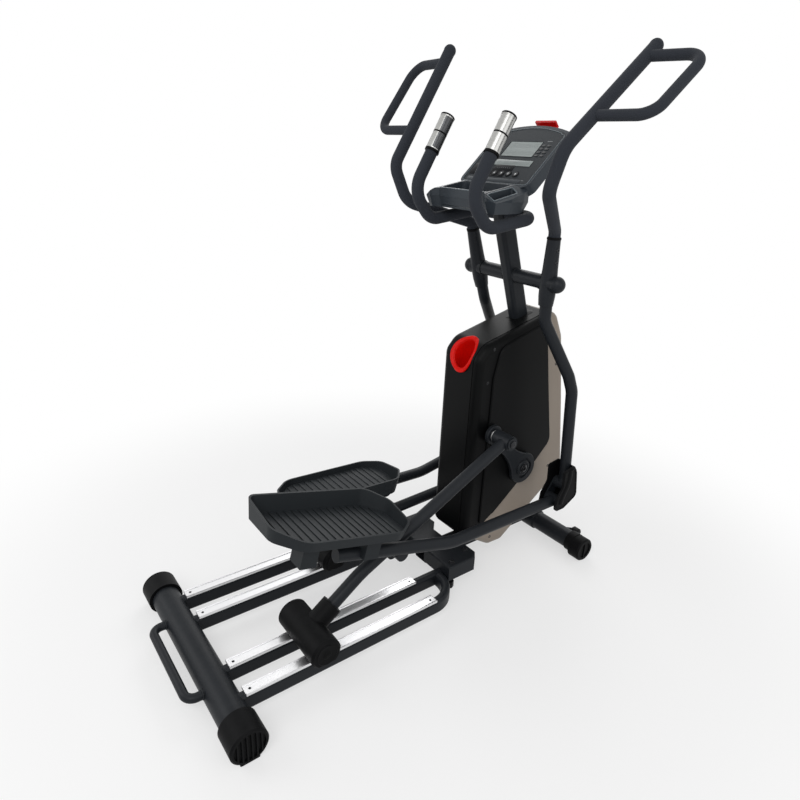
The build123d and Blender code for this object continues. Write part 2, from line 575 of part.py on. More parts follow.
def housing():
    """Side covers with raised panels, spine cover, front bands and bottle cup."""
    ring = Plane(origin=(RING_X, 0, RING_Z), x_dir=(0, 1, 0),
                 z_dir=(-sin(radians(RING_SLOPE)), 0, cos(radians(RING_SLOPE))))
    axis = (-sin(radians(CUP_LEAN)), 0, cos(radians(CUP_LEAN)))
    blocks = []
    for side, word in SIDES.items():
        with BuildPart() as core:
            with BuildSketch(side_plane(0)):
                add(housing_outline(HOUSING_WALL))
            extrude(amount=-side * (HOUSING_HALF - HOUSING_WALL))
            rim = core.faces().sort_by(Axis.Y)[-1 if side > 0 else 0]
            fillet(rim.edges(), HOUSING_ROUND - HOUSING_WALL)
        with BuildPart() as block:
            with BuildSketch(side_plane(0)):
                with BuildLine():
                    FilletPolyline((518, 960), (884, 960), (884, 0), (84, 0), (206, 112),
                                   (330, 190), (525, 343), (590, 409), (538, 647), (506, 800),
                                   close=True, radius=(5, 5, 5, 5, 5, 20, 60, 40, 60, 60))
                make_face()
            extrude(amount=-side * 110)
        blocks.append(block.part)
        with BuildPart() as skin:
            with BuildSketch(side_plane(0)):
                add(housing_outline())
            extrude(amount=-side * HOUSING_HALF)
            rim = skin.faces().sort_by(Axis.Y)[-1 if side > 0 else 0]
            fillet(rim.edges(), HOUSING_ROUND)
            add(core.part, mode=Mode.SUBTRACT)
        with BuildPart() as shell:
            add(skin.part)
            panel = side_plane(side * (HOUSING_HALF - HOUSING_WALL + 0.5))
            with BuildSketch(panel):
                add(panel_outline())
            extrude(amount=-side * 9)
            chamfer(shell.faces().sort_by(Axis.Y)[-1 if side > 0 else 0].edges(), 3)
            with BuildSketch(panel):
                add(panel_outline(5))
            extrude(amount=-side * 6)
            with BuildSketch(side_plane(side * (HOUSING_HALF - HOUSING_WALL - 1))):
                add(panel_outline(5))
            extrude(amount=-side * 7.5, mode=Mode.SUBTRACT)
            add(block.part, mode=Mode.SUBTRACT)
            with Locations((0, 0, 500)):
                Box(1200, 2 * SPINE_HALF, 1200, mode=Mode.SUBTRACT)
            with BuildSketch(side_plane(side * 60)):
                with Locations((CRANK_X, CRANK_Z)):
                    Circle(32)
            extrude(amount=-side * 40, mode=Mode.SUBTRACT)
            with Locations((372, 0, 60)):
                Box(700, BEAM_WIDTH + 4, 2 * 44, mode=Mode.SUBTRACT)
            with Locations((UPRIGHT_X - 20, 0, 110)):
                Box(130, 52, 120, mode=Mode.SUBTRACT)
        shell.part.label = f"housing_shell_{word}"
        export_step(shell.part, f"parts/housing_shell_{word}.step")

        with BuildPart() as band:
            add(skin.part)
            add(block.part, mode=Mode.INTERSECT)
            with Locations((372, 0, 60)):
                Box(700, BEAM_WIDTH + 4, 2 * 44, mode=Mode.SUBTRACT)
            with Locations((UPRIGHT_X - 20, 0, 110)):
                Box(130, 52, 120, mode=Mode.SUBTRACT)
            with BuildSketch(Plane.XY.offset(830)):
                with Locations((450, 0)):
                    Rectangle(72, 46)
            extrude(amount=90, mode=Mode.SUBTRACT)
        band.part.label = f"front_band_{word}"
        export_step(band.part, f"parts/front_band_{word}.step")

    with BuildPart() as spine_cover:
        with BuildSketch(side_plane(SPINE_HALF - 0.3)):
            add(housing_outline(-1.5))
        extrude(amount=2 * SPINE_HALF - 0.6)
        with BuildSketch(side_plane(SPINE_HALF)):
            add(housing_outline(HOUSING_WALL))
        extrude(amount=2 * SPINE_HALF, mode=Mode.SUBTRACT)
        for block in blocks:
            add(block, mode=Mode.SUBTRACT)
        with Locations((372, 0, 60)):
            Box(700, BEAM_WIDTH + 4, 2 * 44, mode=Mode.SUBTRACT)
        with BuildSketch(ring.offset(0.7)):
            Ellipse(50.4, 62.4)
        extrude(amount=30, mode=Mode.SUBTRACT)
        with BuildSketch(ring):
            Ellipse(38.5, 49.5)
        extrude(amount=1, mode=Mode.SUBTRACT)
        with BuildSketch(ring):
            Ellipse(38.5, 49.5)
        extrude(amount=-90, dir=axis, mode=Mode.SUBTRACT)
        with BuildSketch(Plane.XY.offset(830)):
            with Locations((450, 0)):
                Rectangle(72, 46)
        extrude(amount=90, mode=Mode.SUBTRACT)
    spine_cover.part.label = "spine_cover"
    export_step(spine_cover.part, "parts/spine_cover.step")

    mouth = Plane(origin=ring.origin + Vector(*axis) * 20, x_dir=(0, 1, 0), z_dir=ring.z_dir)
    base = Plane(origin=ring.origin - Vector(*axis) * 78, x_dir=(0, 1, 0), z_dir=axis)
    with BuildPart() as bottle_cup:
        with BuildSketch(ring):
            Ellipse(38, 49)
        extrude(amount=-150, dir=axis)
        with BuildSketch(ring):
            Ellipse(38, 49)
        extrude(amount=3)
        with BuildSketch(ring.offset(1)):
            Ellipse(50, 62)
        extrude(amount=6)
        with BuildSketch(mouth):
            Ellipse(35, 46)
        extrude(amount=-190, dir=axis, mode=Mode.SUBTRACT)
        with BuildSketch(base):
            Rectangle(300, 300)
        extrude(amount=-300, mode=Mode.SUBTRACT)
        with BuildSketch(base):
            Circle(37)
        extrude(amount=3)
    bottle_cup.part.label = "bottle_cup"
    export_step(bottle_cup.part, "parts/bottle_cup.step")


# ---------------------------------------------------------------- rods and carriages
def rods():
    """Bowed rods with crank-pin eyes, their roller carriages and rollers."""
    for side, word in SIDES.items():
        pin_x, pin_z = crank_pin(side)
        rear_x = ROLLER_X[side]
        span = hypot(pin_x - rear_x, pin_z - ROLLER_Z)
        slope = -degrees(atan2(pin_z - ROLLER_Z, pin_x - rear_x))

        def at(along, lift):
            x, z = turned(along, lift, slope)
            return (rear_x + x, side * ROD_Y, ROLLER_Z + z)

        body = tube([at(58, 6), at(205, 24), at(span - 10, 2)], 260, ROD_DIAMETER)
        eye_in, eye_out = side * 119, side * 186
        eye = lateral(pin_x, pin_z, eye_in, eye_out, 24)
        washer = lateral(pin_x, pin_z, side * (CRANK_PLATE_OUT + 0.5), eye_in, 18)
        cap = lateral(pin_x, pin_z, eye_out, eye_out + side * 5, 20)
        stub_x, _, stub_z = at(span * 0.38, 12)
        boss = lateral(stub_x, stub_z, side * (ROD_Y + 8), side * (ROD_Y + 22), 18)
        with BuildPart() as rod:
            add(body)
            add(eye)
            add(washer)
            add(cap)
            add(boss)
        rod.part.label = f"rod_{word}"
        export_step(rod.part, f"parts/rod_{word}.step")

        low, high = side * CARRIAGE_Y - CARRIAGE_HALF, side * CARRIAGE_Y + CARRIAGE_HALF
        socket = tube([at(20, 2), at(95, 12)], 0, 62)
        carriage_plane = Plane(origin=(rear_x, low, ROLLER_Z), x_dir=(1, 0, 0), z_dir=(0, 1, 0))
        with BuildPart() as carriage:
            with BuildSketch(carriage_plane):
                Circle(CARRIAGE_RADIUS)
            extrude(amount=high - low)
            chamfer(carriage.edges().filter_by(GeomType.CIRCLE), 6)
            add(socket)
            add(body, mode=Mode.SUBTRACT)
            with BuildSketch(carriage_plane.offset(4)):
                Circle(CARRIAGE_RADIUS - 3.4)
            extrude(amount=high - low - 8, mode=Mode.SUBTRACT)
            with BuildSketch(carriage_plane):
                Circle(5)
            extrude(amount=high - low, mode=Mode.SUBTRACT)
            with Locations((rear_x, side * CARRIAGE_Y, ROLLER_Z - 54)):
                Box(120, high - low + 10, 50, mode=Mode.SUBTRACT)
        carriage.part.label = f"carriage_{word}"
        export_step(carriage.part, f"parts/carriage_{word}.step")

        with BuildPart() as rollers:
            with BuildSketch(Plane(origin=(rear_x, 0, ROLLER_Z), x_dir=(0, 1, 0),
                                   z_dir=(1, 0, 0))):
                with BuildLine():
                    inner, outer = RAIL_INNER_Y * side, RAIL_OUTER_Y * side
                    first, last = sorted((inner, outer))
                    r = ROLLER_Z - RAIL_Z - RAIL_HEIGHT / 2 - TRACK_HEIGHT - 0.3
                    Polyline((low + 1, 0), (low + 1, 4.9), (first - 12, 4.9), (first - 12, r - 1),
                             (first - 11, r), (first + 11, r), (first + 12, r - 1),
                             (first + 12, 9), (last - 12, 9), (last - 12, r - 1),
                             (last - 11, r), (last + 11, r), (last + 12, r - 1),
                             (last + 12, 4.9), (high - 1, 4.9), (high - 1, 0), close=True)
                make_face()
            revolve(axis=Axis((rear_x, 0, ROLLER_Z), (0, 1, 0)))
        rollers.part.label = f"rollers_{word}"
        export_step(rollers.part, f"parts/rollers_{word}.step")


# ---------------------------------------------------------------- swing arms
def boot_outline():
    """Side outline of the boot over a swing arm's foot, its joint at the origin."""
    with BuildSketch() as outline:
        with BuildLine():
            FilletPolyline((-38, -10), (-34, 24), (-8, 64), (-12, 126), (42, 134), (60, 110),
                           (78, 10), (14, -24), (-18, -24), close=True,
                           radius=(14, 10, 20, 10, 14, 50, 24, 20, 14))
        make_face()
    return outline.sketch


def arm_point(side, x, y, z):
    """Point of a swing arm, given beside its pivot with y measured outboard."""
    dx, dz = turned(x, z, ARM_ANGLE[side])
    return (PIVOT_X + dx, side * y, PIVOT_Z + dz)


def foot_joint(side):
    """Centre of the joint between a swing arm's foot and its pedal arm."""
    x, _, z = arm_point(side, FOOT_LOCAL[0], FOOT_Y, FOOT_LOCAL[1])
    return x, z


def swing_arms():
    """Lower tubes with pivot sleeves and foot barrels, and padded upper grips."""
    for side, word in SIDES.items():
        p = lambda x, y, z: arm_point(side, x, y, z)
        fx, fz = FOOT_LOCAL
        yoke_x, _, yoke_z = p(fx + 34, 0, fz + 52)
        lower = tube([p(1, ARM_Y, -40), p(4, ARM_Y + 1, -118), p(78, FOOT_Y - 4, -290),
                      p(101, FOOT_Y, -345), p(132, FOOT_Y, -664),
                      p(fx + 34, FOOT_Y, fz + 52)], (60, 60, 80, 60), ARM_DIAMETER, 0)
        top = Vector(*p(0, ARM_Y, 128)) - Vector(*p(0, ARM_Y, 0))
        sleeve_plane = Plane(origin=p(0, ARM_Y, 0), x_dir=(0, 1, 0), z_dir=top)
        joint_x, joint_z = foot_joint(side)
        yoke = lateral(yoke_x, yoke_z, side * FOOT_Y - 29.5, side * FOOT_Y + 29.5, 20)
        bolt = lateral(joint_x, joint_z, side * FOOT_Y - 29.5, side * FOOT_Y + 29.5, 6)
        with BuildPart() as sleeve:
            with BuildSketch(Plane(origin=p(0, ARM_Y, 0), x_dir=(0, 1, 0),
                                   z_dir=Vector(0, 1, 0).cross(top))):
                with BuildLine():
                    Polyline((0, -68), (22, -68), (25, -40), (26, 0), (23, 40), (20, 128),
                             (0, 128), close=True)
                make_face()
            revolve(axis=Axis(p(0, ARM_Y, 0), top))
        hub = lateral(PIVOT_X, PIVOT_Z, side * (ARM_Y - 28.5), side * (ARM_Y + 27), 24)
        with BuildPart() as swing_arm:
            add(sleeve.part)
            add(lower)
            add(hub)
            add(yoke)
            for y in (-29.5, 24.5):
                with BuildSketch(side_plane(side * FOOT_Y + y + 5)):
                    with BuildLine():
                        Line((joint_x - 18, joint_z + 8), (yoke_x - 18, yoke_z + 8))
                        ThreePointArc((yoke_x - 18, yoke_z + 8), (yoke_x + 7, yoke_z + 18),
                                      (yoke_x + 18, yoke_z - 8))
                        Line((yoke_x + 18, yoke_z - 8), (joint_x + 18, joint_z - 8))
                        ThreePointArc((joint_x + 18, joint_z - 8), (joint_x - 7, joint_z - 18),
                                      (joint_x - 18, joint_z + 8))
                    make_face()
                extrude(amount=5)
            with BuildSketch(side_plane(300)):
                with Locations((PIVOT_X, PIVOT_Z)):
                    Circle(AXLE_SHAFT / 2 + RUNNING_FIT)
            extrude(amount=600, mode=Mode.SUBTRACT)
            add(bolt)
        swing_arm.part.label = f"swing_arm_{word}"
        export_step(swing_arm.part, f"parts/swing_arm_{word}.step")

        cover_plane = Plane(origin=(joint_x, side * FOOT_Y + 35, joint_z),
                            x_dir=Vector(*p(1, 0, 0)) - Vector(*p(0, 0, 0)), z_dir=(0, -1, 0))
        with BuildPart() as joint_cover:
            with BuildSketch(cover_plane):
                add(boot_outline())
            extrude(amount=70)
            chamfer(joint_cover.faces().sort_by(Axis.Y)[-1 if side > 0 else 0].edges(), 3)
            with BuildSketch(cover_plane.offset(4.2)):
                with Locations((-5, 1)):
                    add(boot_outline())
                with Locations((-30, 0)):
                    Rectangle(60, 300)
            extrude(amount=61.6, mode=Mode.SUBTRACT)
            add(lower, mode=Mode.SUBTRACT)
        joint_cover.part.label = f"joint_cover_{word}"
        export_step(joint_cover.part, f"parts/joint_cover_{word}.step")

        grip = tube([p(0, ARM_Y, 128.3), p(0, ARM_Y, 150), p(-165, 251, 264),
                     p(-161, 282, 372), p(135, 292, 628)], (20, 60, 60), GRIP_DIAMETER)
        loop = tube([p(104, 292, 601), p(118, 448, 597), p(-72, 452, 450), p(-70, 300, 450)],
                    (50, 42), LOOP_DIAMETER)
        with BuildPart() as swing_grip:
            add(grip)
            add(loop)
            with Locations(p(134, 292, 627)):
                Sphere(GRIP_DIAMETER / 2 + 0.8)
        swing_grip.part.label = f"swing_grip_{word}"
        export_step(swing_grip.part, f"parts/swing_grip_{word}.step")


# ---------------------------------------------------------------- pedals
def pedal_point(side, x, y, z):
    """Point of a pedal arm, given beside its front joint with y measured outboard."""
    joint_x, joint_z = foot_joint(side)
    dx, dz = turned(x, z, PEDAL_ARM_ANGLE[side])
    return (joint_x + dx, side * y, joint_z + dz)


def pedals():
    """Pedal arms with clevis and cover at the front and a ribbed tray at the rear."""
    for side, word in SIDES.items():
        p = lambda x, y, z: pedal_point(side, x, y, z)
        joint_x, joint_z = foot_joint(side)
        arm = tube([p(-8, FOOT_Y, 0), p(-467, FOOT_Y, 6), p(-859, FOOT_Y - 12, 110)],
                   190, PEDAL_ARM_DIAMETER, 0)
        barrel = lateral(joint_x, joint_z, side * FOOT_Y - 24, side * FOOT_Y + 24, 20.5)
        boss_x, _, boss_z = p(-647, FOOT_Y, 32)
        pivot = lateral(boss_x, boss_z, side * (ROD_Y + 25), side * FOOT_Y, 20)
        with BuildPart() as pedal_arm:
            add(arm)
            add(pivot)
            add(barrel)
            with BuildSketch(side_plane(300)):
                with Locations((joint_x, joint_z)):
                    Circle(6 + RUNNING_FIT)
            extrude(amount=600, mode=Mode.SUBTRACT)
        pedal_arm.part.label = f"pedal_arm_{word}"
        export_step(pedal_arm.part, f"parts/pedal_arm_{word}.step")

        pitch = radians(TRAY_PITCH + PEDAL_ARM_ANGLE[side])
        along = Vector(cos(pitch), 0, -sin(pitch))
        normal = Vector(sin(pitch), 0, cos(pitch))
        front = Vector(*p(TRAY_FRONT_LOCAL[0], 0, TRAY_FRONT_LOCAL[1]))
        centre = front - along * (TRAY_LENGTH / 2) + Vector(0, side * ROD_Y, 0)
        floor = Plane(origin=centre, x_dir=along, z_dir=normal)
        rim_lean = radians(8)
        rim = Plane(origin=centre + normal * 42, x_dir=along,
                    z_dir=normal * cos(rim_lean) + Vector(0, side, 0) * sin(rim_lean))
        with BuildPart() as pedal_tray:
            with BuildSketch(floor):
                add(tray_outline(side, 14))
            extrude(amount=68, taper=-11)
            with BuildSketch(floor.offset(9)):
                add(tray_outline(side, 18))
            extrude(amount=64, taper=-11, mode=Mode.SUBTRACT)
            split(bisect_by=rim, keep=Keep.BOTTOM)
            with BuildSketch(floor.offset(8.5)):
                with GridLocations(22, 1, 16, 1):
                    Rectangle(8, TRAY_WIDTH)
                add(tray_outline(side, 22), mode=Mode.INTERSECT)
            extrude(amount=3)
            with BuildSketch(floor):
                with Locations((-110, side * 56), (80, side * 58)):
                    Rectangle(46, 52)
            extrude(amount=-56)
            add(arm, mode=Mode.SUBTRACT)
        pedal_tray.part.label = f"pedal_tray_{word}"
        export_step(pedal_tray.part, f"parts/pedal_tray_{word}.step")


def tray_outline(side, shrink):
    """Foot tray outline with a rounded nose, straight inboard and bowed outboard side."""
    half, wide = TRAY_LENGTH / 2, side * TRAY_WIDTH / 2
    with BuildSketch() as shape:
        with BuildLine():
            FilletPolyline((-half, -wide), (half - 55, -wide), (half, -wide * 0.4),
                           (half, wide * 0.6), (half - 60, wide), (-half + 70, wide),
                           (-half, wide * 0.35), close=True,
                           radius=(28, 50, 50, 50, 60, 70, 60))
        make_face()
        offset(amount=-shrink)
    return shape.sketch


# ---------------------------------------------------------------- console
def console():
    """Tilted body with face panel, screen, four keys, media clip and accessory tray."""
    tilt = radians(CONSOLE_TILT)
    slope = Vector(cos(tilt), 0, sin(tilt))
    face = Plane(origin=(CONSOLE_X, 0, CONSOLE_Z), x_dir=(0, -1, 0),
                 z_dir=(-sin(tilt), 0, cos(tilt)))
    lean = (-sin(radians(MAST_LEAN)), 0, cos(radians(MAST_LEAN)))
    back = Plane(origin=face.origin - face.z_dir * 34, x_dir=(0, -1, 0), z_dir=face.z_dir)

    with BuildPart() as console_body:
        with BuildSketch(back):
            add(console_outline(0))
        extrude(amount=34)
        with BuildSketch(back):
            with Locations((0, 78)):
                RectangleRounded(220, 150, 30)
        extrude(amount=-26, taper=14)
        with BuildSketch(face):
            add(console_outline(9))
        extrude(amount=-2.5, mode=Mode.SUBTRACT)
        with BuildSketch(Plane(origin=(mast_x(1218), 0, 1218), z_dir=lean)):
            RectangleRounded(MAST_DEPTH + 16, MAST_WIDTH + 16, 14)
        extrude(amount=40)
        with BuildSketch(Plane(origin=(mast_x(1190), 0, 1190), z_dir=lean)):
            RectangleRounded(MAST_DEPTH + 0.4, MAST_WIDTH + 0.4, 12)
        extrude(amount=46, mode=Mode.SUBTRACT)
        for key in KEY_PLACES:
            with BuildSketch(face):
                with Locations(key):
                    Circle(5)
            extrude(amount=-9, mode=Mode.SUBTRACT)
    console_body.part.label = "console_body"
    export_step(console_body.part, "parts/console_body.step")

    with BuildPart() as console_face:
        with BuildSketch(face.offset(-2.5)):
            add(console_outline(9.2))
            with Locations(SCREEN_AT):
                Rectangle(*SCREEN_SIZE, mode=Mode.SUBTRACT)
            with Locations(*KEY_PLACES):
                Circle(8, mode=Mode.SUBTRACT)
        extrude(amount=2.5)
    console_face.part.label = "console_face"
    export_step(console_face.part, "parts/console_face.step")

    with BuildPart() as console_screen:
        with BuildSketch(face.offset(-2.5)):
            with Locations(SCREEN_AT):
                Rectangle(SCREEN_SIZE[0] - 0.4, SCREEN_SIZE[1] - 0.4)
        extrude(amount=2.1)
    console_screen.part.label = "console_screen"
    export_step(console_screen.part, "parts/console_screen.step")

    for number, key in enumerate(KEY_PLACES, 1):
        with BuildPart() as console_key:
            with BuildSketch(face.offset(-0.9)):
                with Locations(key):
                    Circle(7.6)
            extrude(amount=3)
            with BuildSketch(face.offset(-6)):
                with Locations(key):
                    Circle(4.6)
            extrude(amount=5.2)
        console_key.part.label = f"console_key_{number}"
        export_step(console_key.part, f"parts/console_key_{number}.step")

    with BuildPart() as media_clip:
        with BuildSketch(face.offset(-33)):
            with Locations((0, CONSOLE_LENGTH + 35)):
                RectangleRounded(80, 42, 5)
        extrude(amount=6)
        with BuildSketch(face.offset(-33)):
            with Locations((0, CONSOLE_LENGTH + 52)):
                RectangleRounded(80, 8, 3)
        extrude(amount=21)
        add(console_body.part, mode=Mode.SUBTRACT)
    media_clip.part.label = "media_clip"
    export_step(media_clip.part, "parts/media_clip.step")

    with BuildPart() as console_tray:
        with BuildSketch(Plane.XY.offset(TRAY_FOOT_Z)):
            add(tray_plan(12))
        extrude(amount=32, taper=-20)
        with BuildSketch(Plane.XY.offset(TRAY_FOOT_Z + 31.5)):
            add(tray_plan(0))
        extrude(amount=70)
        with BuildSketch(side_plane(200)):
            with BuildLine():
                Polyline((100, 1248), (152, 1257), (264, 1279), (400, 1279), (400, 1340),
                         (100, 1340), close=True)
            make_face()
            with BuildLine():
                Polyline((262, 1190), (300, 1236), (300, 1190), close=True)
            make_face()
        extrude(amount=400, mode=Mode.SUBTRACT)
        for side in SIDES:
            with BuildSketch(Plane(origin=(100, 0, 0), x_dir=(0, 1, 0), z_dir=(1, 0, 0))):
                with BuildLine():
                    Polyline((side * 106, 1247), (side * 160, 1216), (side * 160, 1320),
                             (side * 106, 1320), close=True)
                make_face()
            extrude(amount=240, dir=(cos(radians(11)), 0, sin(radians(11))), mode=Mode.SUBTRACT)
            with BuildSketch(Plane.XY.offset(1221)):
                with BuildLine():
                    FilletPolyline((146, side * 112), (238, side * 112), (238, side * 134),
                                   (148, side * 138), close=True, radius=6)
                make_face()
            extrude(amount=70, mode=Mode.SUBTRACT)
        with BuildSketch(Plane.XY.offset(1209)):
            with BuildLine():
                FilletPolyline((161, -97), (252, -97), (252, 97), (161, 97), close=True,
                               radius=14)
            make_face()
        extrude(amount=80, mode=Mode.SUBTRACT)
        with BuildSketch(face.offset(-3)):
            with Locations((0, 92)):
                Rectangle(400, 200)
        extrude(amount=100, mode=Mode.SUBTRACT)
        with BuildSketch(Plane(origin=(mast_x(1190), 0, 1190), z_dir=lean)):
            RectangleRounded(MAST_DEPTH + 16.4, MAST_WIDTH + 16.4, 14)
        extrude(amount=80, mode=Mode.SUBTRACT)
        add(console_body.part, mode=Mode.SUBTRACT)
    console_tray.part.label = "console_tray"
    export_step(console_tray.part, "parts/console_tray.step")


def console_outline(shrink):
    """Console face outline: straight foot, upright sides and a crowned top edge."""
    with BuildSketch() as outline:
        with BuildLine():
            foot = Polyline((-CONSOLE_HALF, CONSOLE_LENGTH - 6), (-CONSOLE_HALF, CONSOLE_FOOT),
                            (CONSOLE_HALF, CONSOLE_FOOT), (CONSOLE_HALF, CONSOLE_LENGTH - 6))
            ThreePointArc(foot @ 0, (0, CONSOLE_LENGTH + 20), foot @ 1)
        make_face()
        fillet(outline.vertices().sort_by(Axis.Y)[2:], 14)
        fillet(outline.vertices().sort_by(Axis.Y)[:2], 26)
        if shrink:
            offset(amount=-shrink)
    return outline.sketch


def tray_plan(shrink):
    """Accessory tray seen from above, with a wing toward the rider on each side."""
    with BuildSketch() as outline:
        with BuildLine():
            FilletPolyline((290, -130), (290, 130), (262, 139), (205, 148), (146, 148),
                           (135, 116), (152, 92), (152, -92), (135, -116), (146, -148),
                           (205, -148), (262, -139), close=True,
                           radius=(6, 6, 20, 40, 10, 12, 10, 10, 12, 10, 40, 20))
        make_face()
        if shrink:
            offset(amount=-shrink)
    return outline.sketch


# ---------------------------------------------------------------- fixed handlebar
def fixed_handlebar():
    """Padded bar through the mast head with a pulse sensor on each upright end."""
    cross_x, cross_z = BAR_CROSS
    foot, head = (138, 1352), (192, 1449)
    ends = []
    for side in (-1, 1):
        y = side * BAR_Y
        ends.append([(cross_x, side * 40, cross_z), (cross_x, y, cross_z),
                     (148, y, 1164), (79, y, 1246), (foot[0], y, foot[1])])
    left, right = ends[1], ends[0]
    bar = tube(list(reversed(left))[:-1] + right[1:], (70, 52, 40, 40, 52, 70), BAR_DIAMETER)
    with BuildPart() as fixed_bar:
        add(bar)
    fixed_bar.part.label = "fixed_handlebar"
    export_step(fixed_bar.part, "parts/fixed_handlebar.step")

    for side, word in SIDES.items():
        start = Vector(foot[0], side * BAR_Y, foot[1])
        axis = (Vector(head[0], side * BAR_Y, head[1]) - start)
        length = axis.length
        start = start + axis.normalized() * 0.3
        stem = Plane(origin=start, x_dir=(0, 1, 0), z_dir=axis)
        with BuildPart() as pulse_sensor:
            with BuildSketch(Plane(origin=start, x_dir=(0, 1, 0), z_dir=stem.y_dir * -1)):
                with BuildLine():
                    r = SENSOR_DIAMETER / 2
                    Polyline((0, 0), (r - 1, 0), (r, 1.5), (r, 8), (r - 0.8, 8),
                             (r - 0.8, length / 2 - 2), (r - 2.4, length / 2 - 2),
                             (r - 2.4, length / 2 + 2), (r - 0.8, length / 2 + 2),
                             (r - 0.8, length - 8), (r, length - 8), (r, length - 3),
                             (r - 3, length), (0, length), close=True)
                make_face()
            revolve(axis=Axis(start, axis))
        pulse_sensor.part.label = f"pulse_sensor_{word}"
        export_step(pulse_sensor.part, f"parts/pulse_sensor_{word}.step")


if __name__ == "__main__":
    rear_stabilizer()
    front_stabilizer()
    rails()
    centre_frame()
    crank_drive()
    housing()
    rods()
    swing_arms()
    pedals()
    console()
    fixed_handlebar()
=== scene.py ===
"""Looks for the elliptical trainer: finishes, fine parts, studio and camera."""
import json
import logging
import math
from dataclasses import dataclass, field
from enum import Enum
from typing import Iterable, Mapping, Sequence

import bmesh
import bpy
from mathutils import Matrix, Vector


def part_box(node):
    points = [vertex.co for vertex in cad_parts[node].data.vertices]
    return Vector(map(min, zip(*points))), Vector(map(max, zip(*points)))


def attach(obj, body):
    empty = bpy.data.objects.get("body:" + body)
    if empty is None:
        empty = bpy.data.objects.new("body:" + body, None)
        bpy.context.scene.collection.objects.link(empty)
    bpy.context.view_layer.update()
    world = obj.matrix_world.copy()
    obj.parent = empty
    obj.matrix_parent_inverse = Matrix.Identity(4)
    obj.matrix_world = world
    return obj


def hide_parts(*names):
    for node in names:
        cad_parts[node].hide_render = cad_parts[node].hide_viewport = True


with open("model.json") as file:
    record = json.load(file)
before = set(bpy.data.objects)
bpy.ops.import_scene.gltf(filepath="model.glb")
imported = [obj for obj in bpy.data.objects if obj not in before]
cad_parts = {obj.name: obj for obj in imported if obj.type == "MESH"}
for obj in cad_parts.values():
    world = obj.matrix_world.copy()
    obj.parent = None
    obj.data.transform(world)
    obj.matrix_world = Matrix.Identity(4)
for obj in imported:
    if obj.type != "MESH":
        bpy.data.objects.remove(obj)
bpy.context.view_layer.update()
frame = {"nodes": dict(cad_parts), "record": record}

LOG = logging.getLogger("trainer")
MM = 0.001
SHARP_FROM = math.radians(38)


class Side(Enum):
    """The two sides of the machine, as the sign of Y."""

    RIGHT = -1
    LEFT = 1

    @property
    def word(self) -> str:
        """The side's name as nodes and bodies write it."""
        return self.name.lower()


# ---------------------------------------------------------------- node groups
class Socket(Enum):
    """Socket types used by the node groups."""

    VALUE = "NodeSocketFloat"
    COLOUR = "NodeSocketColor"
    VECTOR = "NodeSocketVector"


@dataclass(frozen=True)
class Port:
    """One input or output of a node group."""

    name: str
    kind: Socket
    default: float | tuple[float, ...] | None = None


class Wiring:
    """A node tree, with short ways to add and join its nodes."""

    def __init__(self, tree: bpy.types.NodeTree) -> None:
        """Takes the tree to work in."""
        self.tree = tree

    def node(self, kind: str, feeds: Mapping[str | int, object] | None = None,
             **settings: object) -> bpy.types.Node:
        """Adds a node.

        Args:
            kind: The node's type.
            feeds: What goes into each input: another node's output, or a fixed value.
            settings: The node's plain properties.

        Returns:
            The node.
        """
        made = self.tree.nodes.new(kind)
        for key, value in settings.items():
            setattr(made, key, value)
        self.feed(made, feeds or {})
        return made

    def feed(self, made: bpy.types.Node, feeds: Mapping[str | int, object]) -> None:
        """Fills a node's inputs with other nodes' outputs or fixed values."""
        for name, feed in feeds.items():
            if isinstance(feed, bpy.types.NodeSocket):
                self.tree.links.new(feed, made.inputs[name])
            else:
                made.inputs[name].default_value = feed

    def sums(self, operation: str, *terms: object, use_clamp: bool = False) -> bpy.types.NodeSocket:
        """Adds a Math node.

        Args:
            operation: What it works out.
            terms: Its inputs in order.
            use_clamp: Whether the result stays between zero and one.

        Returns:
            Its result.
        """
        return self.node("ShaderNodeMath", dict(enumerate(terms)), operation=operation,
                         use_clamp=use_clamp).outputs[0]


class NodeGroup(Wiring):
    """A named shader effect that several materials share."""

    def __init__(self, name: str, inputs: Sequence[Port], outputs: Sequence[Port]) -> None:
        """Makes the empty group with its sockets.

        Args:
            name: The group's name.
            inputs: The sockets that each material fills in.
            outputs: What the group hands back.
        """
        super().__init__(bpy.data.node_groups.new(name, "ShaderNodeTree"))
        for ports, way in ((inputs, "INPUT"), (outputs, "OUTPUT")):
            for port in ports:
                made = self.tree.interface.new_socket(port.name, in_out=way,
                                                      socket_type=port.kind.value)
                if port.default is not None:
                    made.default_value = port.default
        self.given = self.node("NodeGroupInput").outputs
        self.sink = self.node("NodeGroupOutput")


